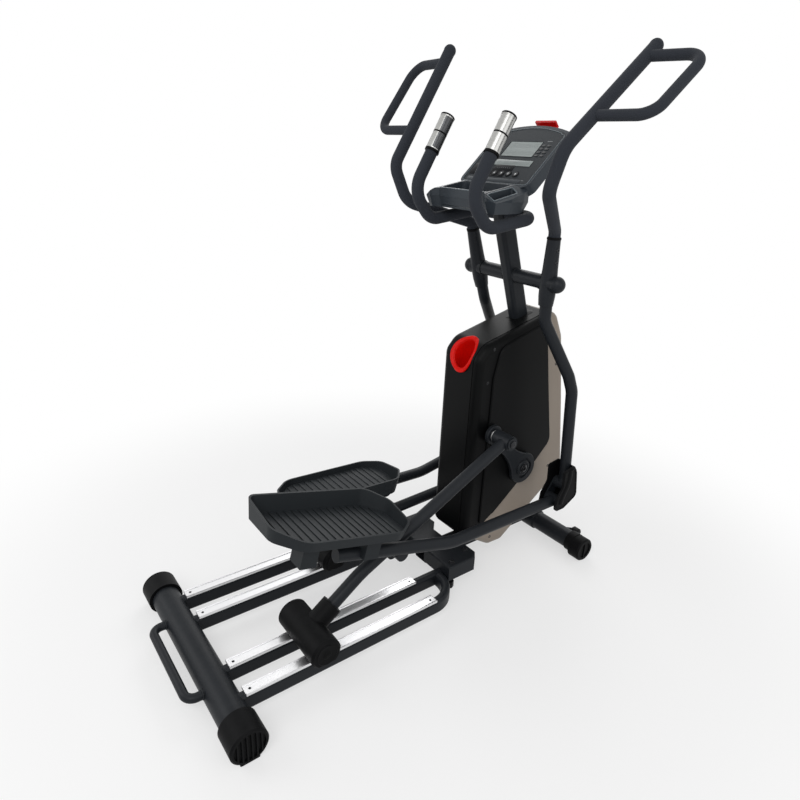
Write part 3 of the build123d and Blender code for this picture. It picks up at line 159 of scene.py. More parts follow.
def build_grain() -> NodeGroup:
    """Builds the moulded or sprayed surface: fine pits, slow blotches and their bump.

    Returns:
        The group, with outputs Colour, Roughness and Normal.
    """
    group = NodeGroup(
        "surface_grain",
        [Port("Base", Socket.COLOUR, (0.02, 0.02, 0.02, 1.0)),
         Port("Roughness", Socket.VALUE, 0.5),
         Port("Grain Scale", Socket.VALUE, 900.0),
         Port("Grain Depth", Socket.VALUE, 0.2),
         Port("Colour Spread", Socket.VALUE, 0.15),
         Port("Roughness Spread", Socket.VALUE, 0.1)],
        [Port("Colour", Socket.COLOUR), Port("Roughness", Socket.VALUE),
         Port("Normal", Socket.VECTOR)])
    given = group.given
    place = group.node("ShaderNodeTexCoord").outputs["Object"]
    pits = group.node("ShaderNodeTexNoise",
                      {"Vector": place, "Scale": given["Grain Scale"], "Detail": 2.0})
    blotches = group.node("ShaderNodeTexNoise", {"Vector": place, "Scale": 7.0, "Detail": 3.0})
    centred = group.sums("SUBTRACT", blotches.outputs["Fac"], 0.5)
    spread = group.sums("MULTIPLY_ADD", centred, given["Colour Spread"], 1.0)
    tint = group.node("ShaderNodeVectorMath", {0: given["Base"], "Scale": spread},
                      operation="SCALE")
    sheen = group.sums("MULTIPLY_ADD", centred, given["Roughness Spread"], given["Roughness"])
    bump = group.node("ShaderNodeBump", {"Distance": 0.0002, "Height": pits.outputs["Fac"],
                                         "Strength": given["Grain Depth"]})
    group.feed(group.sink, {"Colour": tint.outputs[0], "Roughness": sheen,
                            "Normal": bump.outputs["Normal"]})
    return group


def build_dust() -> NodeGroup:
    """Builds the thin dust that lies on faces that look up.

    Returns:
        The group, with the output Colour.
    """
    group = NodeGroup(
        "settled_dust",
        [Port("Colour", Socket.COLOUR, (0.02, 0.02, 0.02, 1.0)),
         Port("Amount", Socket.VALUE, 0.05)],
        [Port("Colour", Socket.COLOUR)])
    facing = group.node("ShaderNodeNewGeometry")
    parts = group.node("ShaderNodeSeparateXYZ", {0: facing.outputs["Normal"]})
    upward = group.sums("MAXIMUM", parts.outputs["Z"], 0.0)
    flat = group.sums("POWER", upward, 2.0, use_clamp=True)
    place = group.node("ShaderNodeTexCoord").outputs["Object"]
    specks = group.node("ShaderNodeTexNoise", {"Vector": place, "Scale": 60.0, "Detail": 5.0})
    patch = group.sums("MULTIPLY", flat, specks.outputs["Fac"])
    amount = group.sums("MULTIPLY", patch, group.given["Amount"], use_clamp=True)
    mix = group.node("ShaderNodeMix", data_type="RGBA")
    group.feed(mix, {"Factor": amount, 6: group.given["Colour"], 7: (0.32, 0.33, 0.34, 1.0)})
    group.feed(group.sink, {"Colour": mix.outputs[2]})
    return group


# ---------------------------------------------------------------- finishes
@dataclass(frozen=True)
class Finish:
    """A moulded, sprayed or foam surface.

    Attributes hold the material's name, its colour, and how its grain looks.
    """

    name: str
    colour: tuple[float, float, float]
    roughness: float
    grain_scale: float = 900.0
    grain_depth: float = 0.2
    colour_spread: float = 0.15
    roughness_spread: float = 0.12
    dust: float = 0.04
    metallic: float = 0.0
    coat: float = 0.0
    coat_roughness: float = 0.2
    specular: float = 0.5
    sheen: float = 0.0

    def build(self, grain: NodeGroup, dust: NodeGroup) -> bpy.types.Material:
        """Makes the material.

        Args:
            grain: The shared grain group.
            dust: The shared dust group.

        Returns:
            The finished material.
        """
        made = bpy.data.materials.new(self.name)
        made.use_nodes = True
        made.diffuse_color = (*self.colour, 1.0)
        wiring = Wiring(made.node_tree)
        surface = wiring.node("ShaderNodeGroup", node_tree=grain.tree)
        wiring.feed(surface, {
            "Base": (*self.colour, 1.0), "Roughness": self.roughness,
            "Grain Scale": self.grain_scale, "Grain Depth": self.grain_depth,
            "Colour Spread": self.colour_spread, "Roughness Spread": self.roughness_spread})
        settled = wiring.node("ShaderNodeGroup", node_tree=dust.tree)
        wiring.feed(settled, {"Amount": self.dust, "Colour": surface.outputs["Colour"]})
        wiring.feed(made.node_tree.nodes["Principled BSDF"], {
            "Metallic": self.metallic, "Coat Weight": self.coat,
            "Coat Roughness": self.coat_roughness, "Specular IOR Level": self.specular,
            "Sheen Weight": self.sheen, "Base Color": settled.outputs["Colour"],
            "Roughness": surface.outputs["Roughness"], "Normal": surface.outputs["Normal"]})
        return made


@dataclass(frozen=True)
class BrushedFinish:
    """Metal with fine lines drawn along one direction of the piece."""

    name: str
    colour: tuple[float, float, float]
    roughness: float
    stretch: tuple[float, float, float] = (6.0, 900.0, 900.0)
    depth: float = 0.12
    metallic: float = 1.0
    lean: float = 0.0
    darker: float = 0.86
    smoother: float = 0.07
    rougher: float = 0.1

    def build(self) -> bpy.types.Material:
        """Makes the brushed material, its lines leant about Y, and returns it."""
        made = bpy.data.materials.new(self.name)
        made.use_nodes = True
        wiring = Wiring(made.node_tree)
        place = wiring.node("ShaderNodeTexCoord").outputs["Object"]
        lines = wiring.node("ShaderNodeMapping", vector_type="TEXTURE")
        wiring.feed(lines, {"Vector": place, "Rotation": (0.0, math.radians(self.lean), 0.0),
                            "Scale": [1.0 / factor for factor in self.stretch]})
        noise = wiring.node("ShaderNodeTexNoise", {"Vector": lines.outputs["Vector"],
                                                   "Scale": 1.0, "Detail": 4.0}).outputs["Fac"]
        ramp = wiring.node("ShaderNodeMapRange", {
            "Value": noise, "To Min": self.roughness - self.smoother,
            "To Max": self.roughness + self.rougher})
        tone = wiring.node("ShaderNodeMix", data_type="RGBA")
        wiring.feed(tone, {"Factor": noise, 6: (*[c * self.darker for c in self.colour], 1.0),
                           7: (*self.colour, 1.0)})
        bump = wiring.node("ShaderNodeBump", {"Strength": self.depth, "Distance": 0.0001,
                                              "Height": noise})
        wiring.feed(made.node_tree.nodes["Principled BSDF"], {
            "Metallic": self.metallic, "Roughness": ramp.outputs["Result"],
            "Base Color": tone.outputs[2], "Normal": bump.outputs["Normal"]})
        return made


class Palette:
    """Every finish on the machine, built once."""

    def __init__(self) -> None:
        """Builds the shared groups, then each material."""
        grain, dust = build_grain(), build_dust()
        finishes = [
            Finish("powder_coat", (0.0125, 0.0145, 0.0175), 0.4, 1400.0, 0.22, 0.25, 0.12,
                   dust=0.03, specular=0.13),
            Finish("cap_plastic", (0.0035, 0.0036, 0.004), 0.5, 1100.0, 0.3, 0.2, 0.1,
                   dust=0.02, specular=0.06),
            Finish("wheel_nylon", (0.004, 0.004, 0.0045), 0.45, 1200.0, 0.2, specular=0.1),
            Finish("tray_plastic", (0.0165, 0.0195, 0.022), 0.46, 1000.0, 0.35, 0.2, 0.14,
                   dust=0.04, specular=0.12),
            Finish("grip_foam", (0.026, 0.0295, 0.037), 0.82, 1500.0, 0.7, 0.2, 0.06,
                   dust=0.02, sheen=0.06, specular=0.12),
            Finish("housing_plastic", (0.0024, 0.0026, 0.0028), 0.42, 1000.0, 0.22, 0.2, 0.12,
                   dust=0.008, specular=0.07),
            Finish("panel_plastic", (0.0035, 0.0035, 0.0035), 0.55, 1100.0, 0.3, 0.2, 0.1,
                   dust=0.008, specular=0.05),
            Finish("band_plastic", (0.272, 0.231, 0.192), 0.42, 900.0, 0.12, 0.06, 0.08, dust=0.0,
                   specular=0.2),
            Finish("cup_plastic", (0.62, 0.0035, 0.001), 0.4, 1000.0, 0.08, 0.06, 0.06,
                   dust=0.0, specular=0.12),
            Finish("clip_plastic", (0.52, 0.005, 0.004), 0.38, 1000.0, 0.08, 0.06, 0.06,
                   dust=0.0, specular=0.15),
            Finish("drive_steel", (0.05, 0.05, 0.052), 0.4, 900.0, 0.2, metallic=0.6),
            Finish("belt_rubber", (0.01, 0.01, 0.01), 0.7),
            Finish("console_plastic", (0.031, 0.038, 0.046), 0.4, 1100.0, 0.16, 0.14, 0.1,
                   dust=0.02, specular=0.2),
            Finish("overlay_film", (0.0125, 0.0165, 0.0205), 0.42, 1500.0, 0.06, 0.08, 0.06,
                   dust=0.01, specular=0.15),
            Finish("window_dark", (0.0022, 0.0028, 0.0045), 0.35, 900.0, 0.02, 0.1, 0.04,
                   dust=0.0, specular=0.08),
            Finish("display_glass", (0.26, 0.295, 0.29), 0.25, 700.0, 0.02, 0.05, 0.03,
                   dust=0.0, coat=0.3, coat_roughness=0.08, specular=0.3),
            Finish("key_rubber", (0.01, 0.011, 0.013), 0.5, 1300.0, 0.12),
            Finish("print_white", (0.86, 0.87, 0.88), 0.5, 900.0, 0.05, dust=0.0),
            Finish("segment_ink", (0.185, 0.21, 0.208), 0.3, 900.0, 0.02, dust=0.0),
            Finish("screw_steel", (0.03, 0.031, 0.034), 0.3, 900.0, 0.1, metallic=0.8),
            Finish("bright_zinc", (0.5, 0.5, 0.49), 0.3, 900.0, 0.08, metallic=1.0),
            # pale trim for the face's edge line; on the tray's rims its paleness is a painted
            # highlight
            Finish("trim_and_painted_highlight", (0.075, 0.098, 0.115), 0.3, 1100.0, 0.12, 0.1, 0.08,
                   dust=0.0, coat=0.3),
            Finish("print_grey", (0.2, 0.21, 0.22), 0.5, 900.0, 0.05, dust=0.0),
            Finish("sensor_dark", (0.06, 0.062, 0.065), 0.28, 1000.0, 0.1, metallic=0.7,
                   dust=0.0),
            # painted shade: near-black for the rings laid round the housing screws
            Finish("shadow_gap", (0.003, 0.003, 0.0033), 0.7, 900.0, 0.1, dust=0.0),
        ]
        self.made: dict[str, bpy.types.Material] = {
            finish.name: finish.build(grain, dust) for finish in finishes}
        for brushed in (
                BrushedFinish("track_aluminium", (0.86, 0.86, 0.87), 0.3),
                BrushedFinish("sensor_steel", (0.44, 0.44, 0.425), 0.28, (12.0, 12.0, 900.0), 0.03,
                              lean=29.1)):
            self.made[brushed.name] = brushed.build()

    def paint(self, piece: bpy.types.Object, name: str) -> None:
        """Gives a piece, or a CAD node, one finish on all its faces."""
        piece.data.materials.clear()
        piece.data.materials.append(self.made[name])


NODE_FINISHES: dict[str, str] = {
    "frame_black": "powder_coat",
    "track_aluminium": "track_aluminium",
    "cap_black": "cap_plastic",
    "wheel_black": "wheel_nylon",
    "tray_black": "tray_plastic",
    "grip_foam": "grip_foam",
    "sensor_metal": "sensor_steel",
    "housing_black": "housing_plastic",
    "band_white": "band_plastic",
    "cup_red": "cup_plastic",
    "drive_metal": "drive_steel",
    "belt_rubber": "belt_rubber",
    "console_grey": "console_plastic",
    "panel_black": "overlay_film",
    "screen_grey": "display_glass",
    "key_black": "key_rubber",
    "clip_red": "clip_plastic",
}


def dress_nodes(palette: Palette) -> None:
    """Gives every CAD node the finish of its record slot.

    Args:
        palette: The built finishes.
    """
    slots = {part["node"]: part["material_slot"] for part in frame["record"]["subparts"]}
    for name, node in frame["nodes"].items():
        palette.paint(node, NODE_FINISHES[slots[name]])
        LOG.info("%s dressed in %s", name, NODE_FINISHES[slots[name]])


# ---------------------------------------------------------------- workshop
RIPPLES = 17
HEAD_BEVEL, SOCKET_INSET, SOCKET_DEPTH = 0.28, 0.8, 0.55
Hoop = tuple[Vector, float, float, Vector]


def upright(origin: Sequence[float], axis: Sequence[float]) -> Matrix:
    """Places local Z along an axis.

    Args:
        origin: Where local zero goes, in millimetres.
        axis: The direction of local Z.

    Returns:
        The placing matrix, in millimetres.
    """
    turn = Vector(axis).normalized().to_track_quat("Z", "Y").to_matrix().to_4x4()
    return Matrix.Translation(Vector(origin)) @ turn


def rounded(points: Sequence[tuple[float, float]], radius: float,
            steps: int = 5) -> list[tuple[float, float]]:
    """Rounds the corners of a flat closed outline.

    Args:
        points: The outline's corners in order.
        radius: How far along each side the rounding starts.
        steps: Straight pieces in each corner.

    Returns:
        The outline with its corners as short curves.
    """
    done = []
    for index, corner in enumerate(points):
        here = Vector(corner)
        before = Vector(points[index - 1]) - here
        after = Vector(points[(index + 1) % len(points)]) - here
        start = here + before.normalized() * min(radius, before.length * 0.48)
        end = here + after.normalized() * min(radius, after.length * 0.48)
        for step in range(steps + 1):
            t = step / steps
            spot = start * (1 - t) ** 2 + here * 2 * t * (1 - t) + end * t ** 2
            done.append((spot.x, spot.y))
    return done


def box_outline(wide: float, tall: float, centre: tuple[float, float] = (0.0, 0.0),
                radius: float = 0.0) -> list[tuple[float, float]]:
    """Corners of a rectangle, rounded where a radius is given."""
    x, y = centre
    corners = [(x - wide / 2, y - tall / 2), (x + wide / 2, y - tall / 2),
               (x + wide / 2, y + tall / 2), (x - wide / 2, y + tall / 2)]
    return rounded(corners, radius) if radius else corners


class Piece:
    """One new object, gathered from simple worked shapes in millimetres."""

    def __init__(self, name: str) -> None:
        """Starts an empty piece."""
        self.name = name
        self.mesh = bmesh.new()

    @staticmethod
    def _lift(part: bmesh.types.BMesh, faces: list[bmesh.types.BMFace],
              height: float) -> list[bmesh.types.BMVert]:
        """Extrudes faces along local Z and returns the corners that moved."""
        grown = bmesh.ops.extrude_face_region(part, geom=faces)["geom"]
        moved = [item for item in grown if isinstance(item, bmesh.types.BMVert)]
        bmesh.ops.translate(part, verts=moved, vec=(0, 0, height))
        return moved

    def _take(self, part: bmesh.types.BMesh, place: Matrix) -> None:
        """Moves a finished shape into the piece."""
        bmesh.ops.recalc_face_normals(part, faces=part.faces)
        bmesh.ops.transform(part, matrix=place, verts=part.verts)
        carrier = bpy.data.meshes.new("carrier")
        part.to_mesh(carrier)
        part.free()
        self.mesh.from_mesh(carrier)
        bpy.data.meshes.remove(carrier)

    def lathe(self, profile: Sequence[tuple[float, float]], place: Matrix, steps: int = 40,
              ripple: float = 0.0) -> None:
        """Adds a turned shape.

        Args:
            profile: Radius and height of each point, from one end to the other. Where the
                first and last points differ and lie off the axis, the ring is closed.
            place: Where local Z and zero go.
            steps: Facets around.
            ripple: Share by which the height waves around, as on a weld bead.
        """
        part = bmesh.new()
        verts = [part.verts.new((radius, 0.0, height)) for radius, height in profile]
        for first, second in zip(verts, verts[1:]):
            part.edges.new((first, second))
        if profile[0][0] > 0 and profile[-1][0] > 0:
            part.edges.new((verts[-1], verts[0]))
        bmesh.ops.spin(part, geom=[*part.verts, *part.edges], cent=(0, 0, 0), axis=(0, 0, 1),
                       angle=math.tau, steps=steps, use_merge=True)
        bmesh.ops.remove_doubles(part, verts=part.verts, dist=0.002)
        if ripple:
            for vert in part.verts:
                turn = math.atan2(vert.co.y, vert.co.x)
                vert.co.z *= 1 + ripple * math.sin(RIPPLES * turn)
        self._take(part, place)

    def plate(self, outline: Sequence[tuple[float, float]], thick: float, place: Matrix,
              edge: float = 0.0) -> None:
        """Adds a flat plate that stands on local Z zero.

        Args:
            outline: Its corners in order.
            thick: Its height.
            place: Where local X, Y and Z go.
            edge: The width of the bevel around its top.
        """
        part = bmesh.new()
        base = part.faces.new([part.verts.new((x, y, 0.0)) for x, y in outline])
        top = self._lift(part, [base], thick)
        if edge:
            rim = [line for line in part.edges if all(v in top for v in line.verts)]
            bmesh.ops.bevel(part, geom=rim, offset=edge, segments=2, profile=0.5,
                            affect="EDGES", material=-1)
        self._take(part, place)

    def head(self, place: Matrix, radius: float, height: float, facets: int = 24,
             socket: float = 0.45) -> None:
        """Adds a bolt or screw head with a recess in its top.

        Args:
            place: Where local zero and Z go.
            radius: The head's radius.
            height: The head's height.
            facets: Six for a hex head, more for a round one.
            socket: The recess's radius as a share of the head's, or zero for a plain top.
        """
        part = bmesh.new()
        bmesh.ops.create_circle(part, cap_ends=True, segments=facets, radius=radius)
        top = self._lift(part, list(part.faces), height)
        rim = [line for line in part.edges if all(v in top for v in line.verts)]
        bmesh.ops.bevel(part, geom=rim, offset=height * HEAD_BEVEL, segments=3, profile=0.5,
                        affect="EDGES", material=-1)
        if socket:
            part.faces.ensure_lookup_table()
            crown = max(part.faces, key=lambda f: f.calc_center_median().z)
            bmesh.ops.inset_region(part, faces=[crown],
                                   thickness=radius * (1 - socket) * SOCKET_INSET)
            self._lift(part, [crown], -height * SOCKET_DEPTH)
            bmesh.ops.delete(part, geom=[crown], context="FACES_ONLY")
        self._take(part, place)

    def bead(self, points: Sequence[Sequence[float]], radius: float, closed: bool = True,
             place: Matrix | None = None, flatten: Matrix | None = None) -> None:
        """Adds a round bead along a smooth line.

        Args:
            points: The line's points.
            radius: The bead's radius.
            closed: Whether its ends meet.
            place: Where the points' axes go.
            flatten: A last change of shape, such as a squash across one axis.
        """
        data = bpy.data.curves.new("bead", "CURVE")
        data.dimensions = "3D"
        data.bevel_depth, data.bevel_resolution, data.use_fill_caps = radius, 3, True
        run = data.splines.new("POLY")
        run.points.add(len(points) - 1)
        for point, spot in zip(run.points, points):
            point.co = (*spot, 1.0)
        run.use_cyclic_u = closed
        holder = bpy.data.objects.new("bead", data)
        worked = bpy.data.meshes.new_from_object(holder)
        part = bmesh.new()
        part.from_mesh(worked)
        bpy.data.objects.remove(holder)
        bpy.data.curves.remove(data)
        bpy.data.meshes.remove(worked)
        bmesh.ops.remove_doubles(part, verts=part.verts, dist=0.001)
        self._take(part, (place or Matrix()) @ (flatten or Matrix()))

    def sleeve(self, radius: float, thick: float, low: float, high: float, centre: float,
               spread: float, place: Matrix) -> None:
        """Adds a part-round plate, such as half of a sleeve.

        Args:
            radius: Its inner radius.
            thick: Its wall.
            low: Where it starts along local Z.
            high: Where it ends.
            centre: The angle that its middle faces, in degrees from local X.
            spread: How many degrees it covers.
            place: Where local zero and Z go.
        """
        part = bmesh.new()
        corners = [(radius, low), (radius + thick, low), (radius + thick, high), (radius, high)]
        verts = [part.verts.new((x, 0.0, z)) for x, z in corners]
        face = part.faces.new(verts)
        bmesh.ops.rotate(part, verts=part.verts, cent=(0, 0, 0),
                         matrix=Matrix.Rotation(math.radians(centre - spread / 2), 3, "Z"))
        bmesh.ops.spin(part, geom=[face], cent=(0, 0, 0), axis=(0, 0, 1),
                       angle=math.radians(spread), steps=24)
        bmesh.ops.remove_doubles(part, verts=part.verts, dist=0.001)
        self._take(part, place)

    def hoops(self, rings: Sequence[Hoop], across: Vector, facets: int = 64) -> None:
        """Adds a closed skin over a row of oval hoops.

        Args:
            rings: Each hoop's centre, half width across and along, and along direction.
            across: The direction that every hoop shares.
            facets: How many corners a hoop has.
        """
        part = bmesh.new()
        loops = []
        for centre, wide, long, along in rings:
            hoop = bmesh.ops.create_circle(part, segments=facets, radius=1.0)["verts"]
            turn = Matrix((across * wide, along * long, across.cross(along))).transposed().to_4x4()
            bmesh.ops.transform(part, matrix=Matrix.Translation(centre) @ turn, verts=hoop)
            loops.append(list(dict.fromkeys(
                line for corner in hoop for line in corner.link_edges)))
        for first, second in zip(loops, loops[1:]):
            bmesh.ops.bridge_loops(part, edges=first + second)
        for end in (loops[0], loops[-1]):
            bmesh.ops.edgeloop_fill(part, edges=end)
        self._take(part, Matrix())

    def done(self, palette: Palette, finish: str, body: str, slot: str) -> bpy.types.Object:
        """Turns the piece into a finished object in metres.

        Args:
            palette: The built finishes.
            finish: The piece's finish.
            body: The body that it rides on.
            slot: The record's material slot meant for it; not used.

        Returns:
            The object.
        """
        bmesh.ops.transform(self.mesh, matrix=Matrix.Scale(MM, 4), verts=self.mesh.verts)
        data = bpy.data.meshes.new(self.name)
        for face in self.mesh.faces:
            face.smooth = True
        self.mesh.to_mesh(data)
        self.mesh.free()
        data.set_sharp_from_angle(angle=SHARP_FROM)
        made = bpy.data.objects.new(self.name, data)
        bpy.context.scene.collection.objects.link(made)
        palette.paint(made, finish)
        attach(made, body)
        LOG.info("%s made, rides on %s", self.name, body)
        return made


# ---------------------------------------------------------------- console
@dataclass(frozen=True)
class Patch:
    """A rectangle on the console's face: its middle, its sides and its corner radius."""

    x: float
    y: float
    wide: float
    tall: float
    radius: float = 0.0

    def grown(self, by: float, radius: float) -> "Patch":
        """The same patch made larger, with other corners."""
        return Patch(self.x, self.y, self.wide + by, self.tall + by, radius)


@dataclass
class ConsoleDetails:
    """Windows, key blocks, icons and trims on the tilted console, sizes in millimetres."""

    palette: Palette
    tilt: float = 43.7
    middle_of_window: tuple[float, float] = (10.0, 137.0)
    window_drop: float = 1.45
    half_wide: float = 132.0
    key_row: tuple[tuple[float, float], ...] = ((-19, 38), (9, 38), (37, 38), (65, 38))
    key_top: float = 2.1
    key_ring: tuple[tuple[float, float], ...] = ((8.3, 0.0), (11.2, 0.0), (10.8, 0.8), (8.5, 0.8))
    strip: Patch = Patch(20, 81, 144, 22, 2)
    key_fields: tuple[Patch, ...] = (
        Patch(1, 58.8, 78, 24.5, 3), Patch(-8, 27.2, 60, 4.6, 1), Patch(-32.7, 38, 10.6, 18),
        Patch(-5, 38, 11.2, 18), Patch(19.7, 38, 4.6, 18), Patch(-100, 50, 46, 44, 4))
    scale_marks: tuple[Patch, ...] = (
        *(Patch(-24 + step * 8, 60, 3.2, 1.0) for step in range(7)),
        *(Patch(-100, 62 - row * 8, 16 - 3 * row, 1.2) for row in range(4)))
    name_marks: tuple[Patch, ...] = (Patch(94, 170, 18, 2.2), Patch(106, 17, 9, 1.6))
    small_keys: tuple[Patch, ...] = tuple(
        Patch(x, 113 + row * 13, 14, 7, 3.4) for x in (84, 104) for row in range(4))
    foot: Patch = Patch(-8, 12, 216, 14, 5)
    face_low: float = 1.0
    face_high: float = 197.0
    face_crown: float = 223.0
    face_corner: float = 14.0
    wing_pocket: tuple[tuple[float, float], ...] = (
        (145.5, 111.5), (238.5, 111.5), (238.5, 134.5), (147.5, 138.5))
    tray_front: float = 153.5

    def __post_init__(self) -> None:
        """Works out the face's axes from the display window."""
        low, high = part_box("console_screen")
        tilt = math.radians(self.tilt)
        self.across = Vector((0, -1, 0))
        self.slope = Vector((math.cos(tilt), 0, math.sin(tilt)))
        self.normal = Vector((-math.sin(tilt), 0, math.cos(tilt)))
        window = (low + high) / (2 * MM)
        zero = (window - self.across * self.middle_of_window[0]
                - self.slope * self.middle_of_window[1] + self.normal * self.window_drop)
        turn = Matrix((self.across, self.slope, self.normal)).transposed().to_4x4()
        self.face = Matrix.Translation(zero) @ turn

    def at(self, x: float, y: float, lift: float = 0.0) -> Matrix:
        """Place on the face, x to the rider's right and y up the slope."""
        return self.face @ Matrix.Translation((x, y, lift))

    def build(self) -> None:
        """Makes every console detail."""
        self.windows()
        self.segments()
        self.blocks()
        self.icons()
        self.side_keys()
        self.foot_band()
        self.trims()
        self.wings()

    def patch(self, piece: Piece, patch: Patch, thick: float, lift: float = 0.0,
              edge: float = 0.0) -> None:
        """Adds a flat plate on a patch of the face.

        Args:
            piece: The piece that takes it.
            patch: Where it lies.
            thick: Its height.
            lift: How far above the face it starts.
            edge: The width of the bevel around its top.
        """
        piece.plate(box_outline(patch.wide, patch.tall, radius=patch.radius), thick,
                    self.at(patch.x, patch.y, lift), edge)

    def outline(self, piece: Piece, patch: Patch, radius: float) -> None:
        """Adds a thin bead around a patch of the face."""
        corners = box_outline(patch.wide, patch.tall, (patch.x, patch.y), patch.radius)
        piece.bead([(a, b, 0.1) for a, b in corners], radius, place=self.face)

    def windows(self) -> None:
        """Lower display strip and the thin frame around both windows."""
        strip = Piece("console_strip")
        self.patch(strip, self.strip, 0.5, edge=0.2)
        strip.done(self.palette, "display_glass", "frame", "screen_grey")
        low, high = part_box("console_screen")
        wide = (high.y - low.y) / MM
        tall = (high.x - low.x) / MM / math.cos(math.radians(self.tilt))
        frame_line = Piece("console_window_frame")
        self.outline(frame_line, Patch(*self.middle_of_window, wide + 2, tall - 1, 3), 0.7)
        self.outline(frame_line, self.strip.grown(2, 3), 0.6)
        frame_line.done(self.palette, "window_dark", "frame", "panel_black")

    def digit(self, piece: Piece, x: float, y: float, tall: float, lift: float) -> None:
        """Adds one unlit seven-bar digit."""
        wide, line = tall * 0.52, tall * 0.09
        bars = [(0, tall / 2, wide, line), (0, 0, wide, line), (0, -tall / 2, wide, line)]
        bars += [(sx * wide * 0.58, sy * tall / 4, line, tall * 0.4)
                 for sx in (-1, 1) for sy in (-1, 1)]
        for dx, dy, w, h in bars:
            self.patch(piece, Patch(x + dx, y + dy, w, h), 0.06, lift)

    def segments(self) -> None:
        """Faint digits behind the glass of both windows."""
        ink = Piece("console_segments")
        x, y = self.middle_of_window
        for column in range(4):
            left = x - 52 + column * 30
            for row, tall in ((14, 15), (-15, 12)):
                for place in range(3):
                    self.digit(ink, left + place * 9, y + row, tall, -0.38)
        for column in range(5):
            for place in range(3):
                self.digit(ink, -38 + column * 27 + place * 7, 81, 9, 0.5)
        ink.done(self.palette, "segment_ink", "frame", "screen_grey")

    def blocks(self) -> None:
        """Dark key fields beside and below the display."""
        fields = Piece("console_key_field")
        for patch in self.key_fields:
            self.patch(fields, patch, 0.6, edge=0.25 if patch.radius else 0.0)
        for x, y in self.key_row:
            fields.lathe(self.key_ring, self.at(x, y))
        fields.done(self.palette, "window_dark", "frame", "panel_black")
        marks = Piece("console_scale_marks")
        for patch in self.scale_marks:
            self.patch(marks, patch, 0.1, 0.6)
        for patch in self.name_marks:
            self.patch(marks, patch, 0.12)
        marks.done(self.palette, "print_grey", "frame", "key_black")

    def icons(self) -> None:
        """One generic sign on each key: up, down, ring and square."""
        signs = {1: [(0, 3.2), (-3.2, -2.2), (3.2, -2.2)],
                 2: [(0, -3.2), (3.2, 2.2), (-3.2, 2.2)],
                 4: box_outline(4.6, 4.6)}
        for number, (x, y) in enumerate(self.key_row, 1):
            sign = Piece(f"console_sign_{number}")
            if number in signs:
                sign.plate(signs[number], 0.15, self.at(x, y, self.key_top))
            else:
                sign.lathe([(2.2, 0.0), (3.3, 0.0), (3.3, 0.15), (2.2, 0.15)],
                           self.at(x, y, self.key_top), 28)
            sign.done(self.palette, "print_white", f"key_{number}", "key_black")

    def side_keys(self) -> None:
        """Two columns of small keys to the right of the display."""
        small = Piece("console_small_keys")
        for patch in self.small_keys:
            self.patch(small, patch, 1.1, edge=0.4)
        small.done(self.palette, "key_rubber", "frame", "console_grey")

    def foot_band(self) -> None:
        """Paler strip along the foot of the face."""
        band = Piece("console_foot_band")
        self.patch(band, self.foot, 0.35, edge=0.15)
        band.done(self.palette, "console_plastic", "frame", "console_grey")

    def trims(self) -> None:
        """Pale line around the face."""
        half, low, high = self.half_wide, self.face_low, self.face_high
        arch = [(half - 2 * half * t / 12, high + (self.face_crown - high)
                 * math.sin(math.pi * t / 12)) for t in range(1, 12)]
        corners = rounded([(-half, high), (-half, low), (half, low), (half, high)],
                          self.face_corner)
        line = corners[len(corners) // 4 // 2:] + arch
        trim = Piece("console_edge_line")
        trim.bead([(a, b, 0.2) for a, b in line], 1.1, place=self.face)
        trim.done(self.palette, "trim_and_painted_highlight", "frame", "console_grey")

    def wings(self) -> None:
        """Rounded lips around the pocket in each wing of the accessory tray; their paler trim
        colour is a painted highlight along the rims.
        """
        for side in Side:
            pocket = [(x, side.value * y) for x, y in self.wing_pocket]
            lip = Piece(f"tray_wing_lip_{side.word}")
            lip.bead([(a, b, self.wing_top(a, abs(b))) for a, b in rounded(pocket, 6)], 1.9)
            lip.done(self.palette, "trim_and_painted_highlight", "frame", "console_grey")
        edge = Piece("tray_front_lip")
        x = self.tray_front
        edge.bead([(x, y, self.wing_top(x, 0)) for y in (-92, -60, -20, 20, 60, 92)], 1.6,
                  closed=False)
        edge.done(self.palette, "trim_and_painted_highlight", "frame", "console_grey")

    @staticmethod
    def wing_top(x: float, y: float) -> float:
        """Height of the tray's upper face at a place, falling outward past the ridge."""
        ridge = 1257.0 + (x - 152.0) * 22.0 / 112.0
        outer = 1247.0 - (y - 106.0) * 31.0 / 54.0 + (x - 100.0) * math.tan(math.radians(11))
        return min(ridge, outer) if y > 106 else ridge


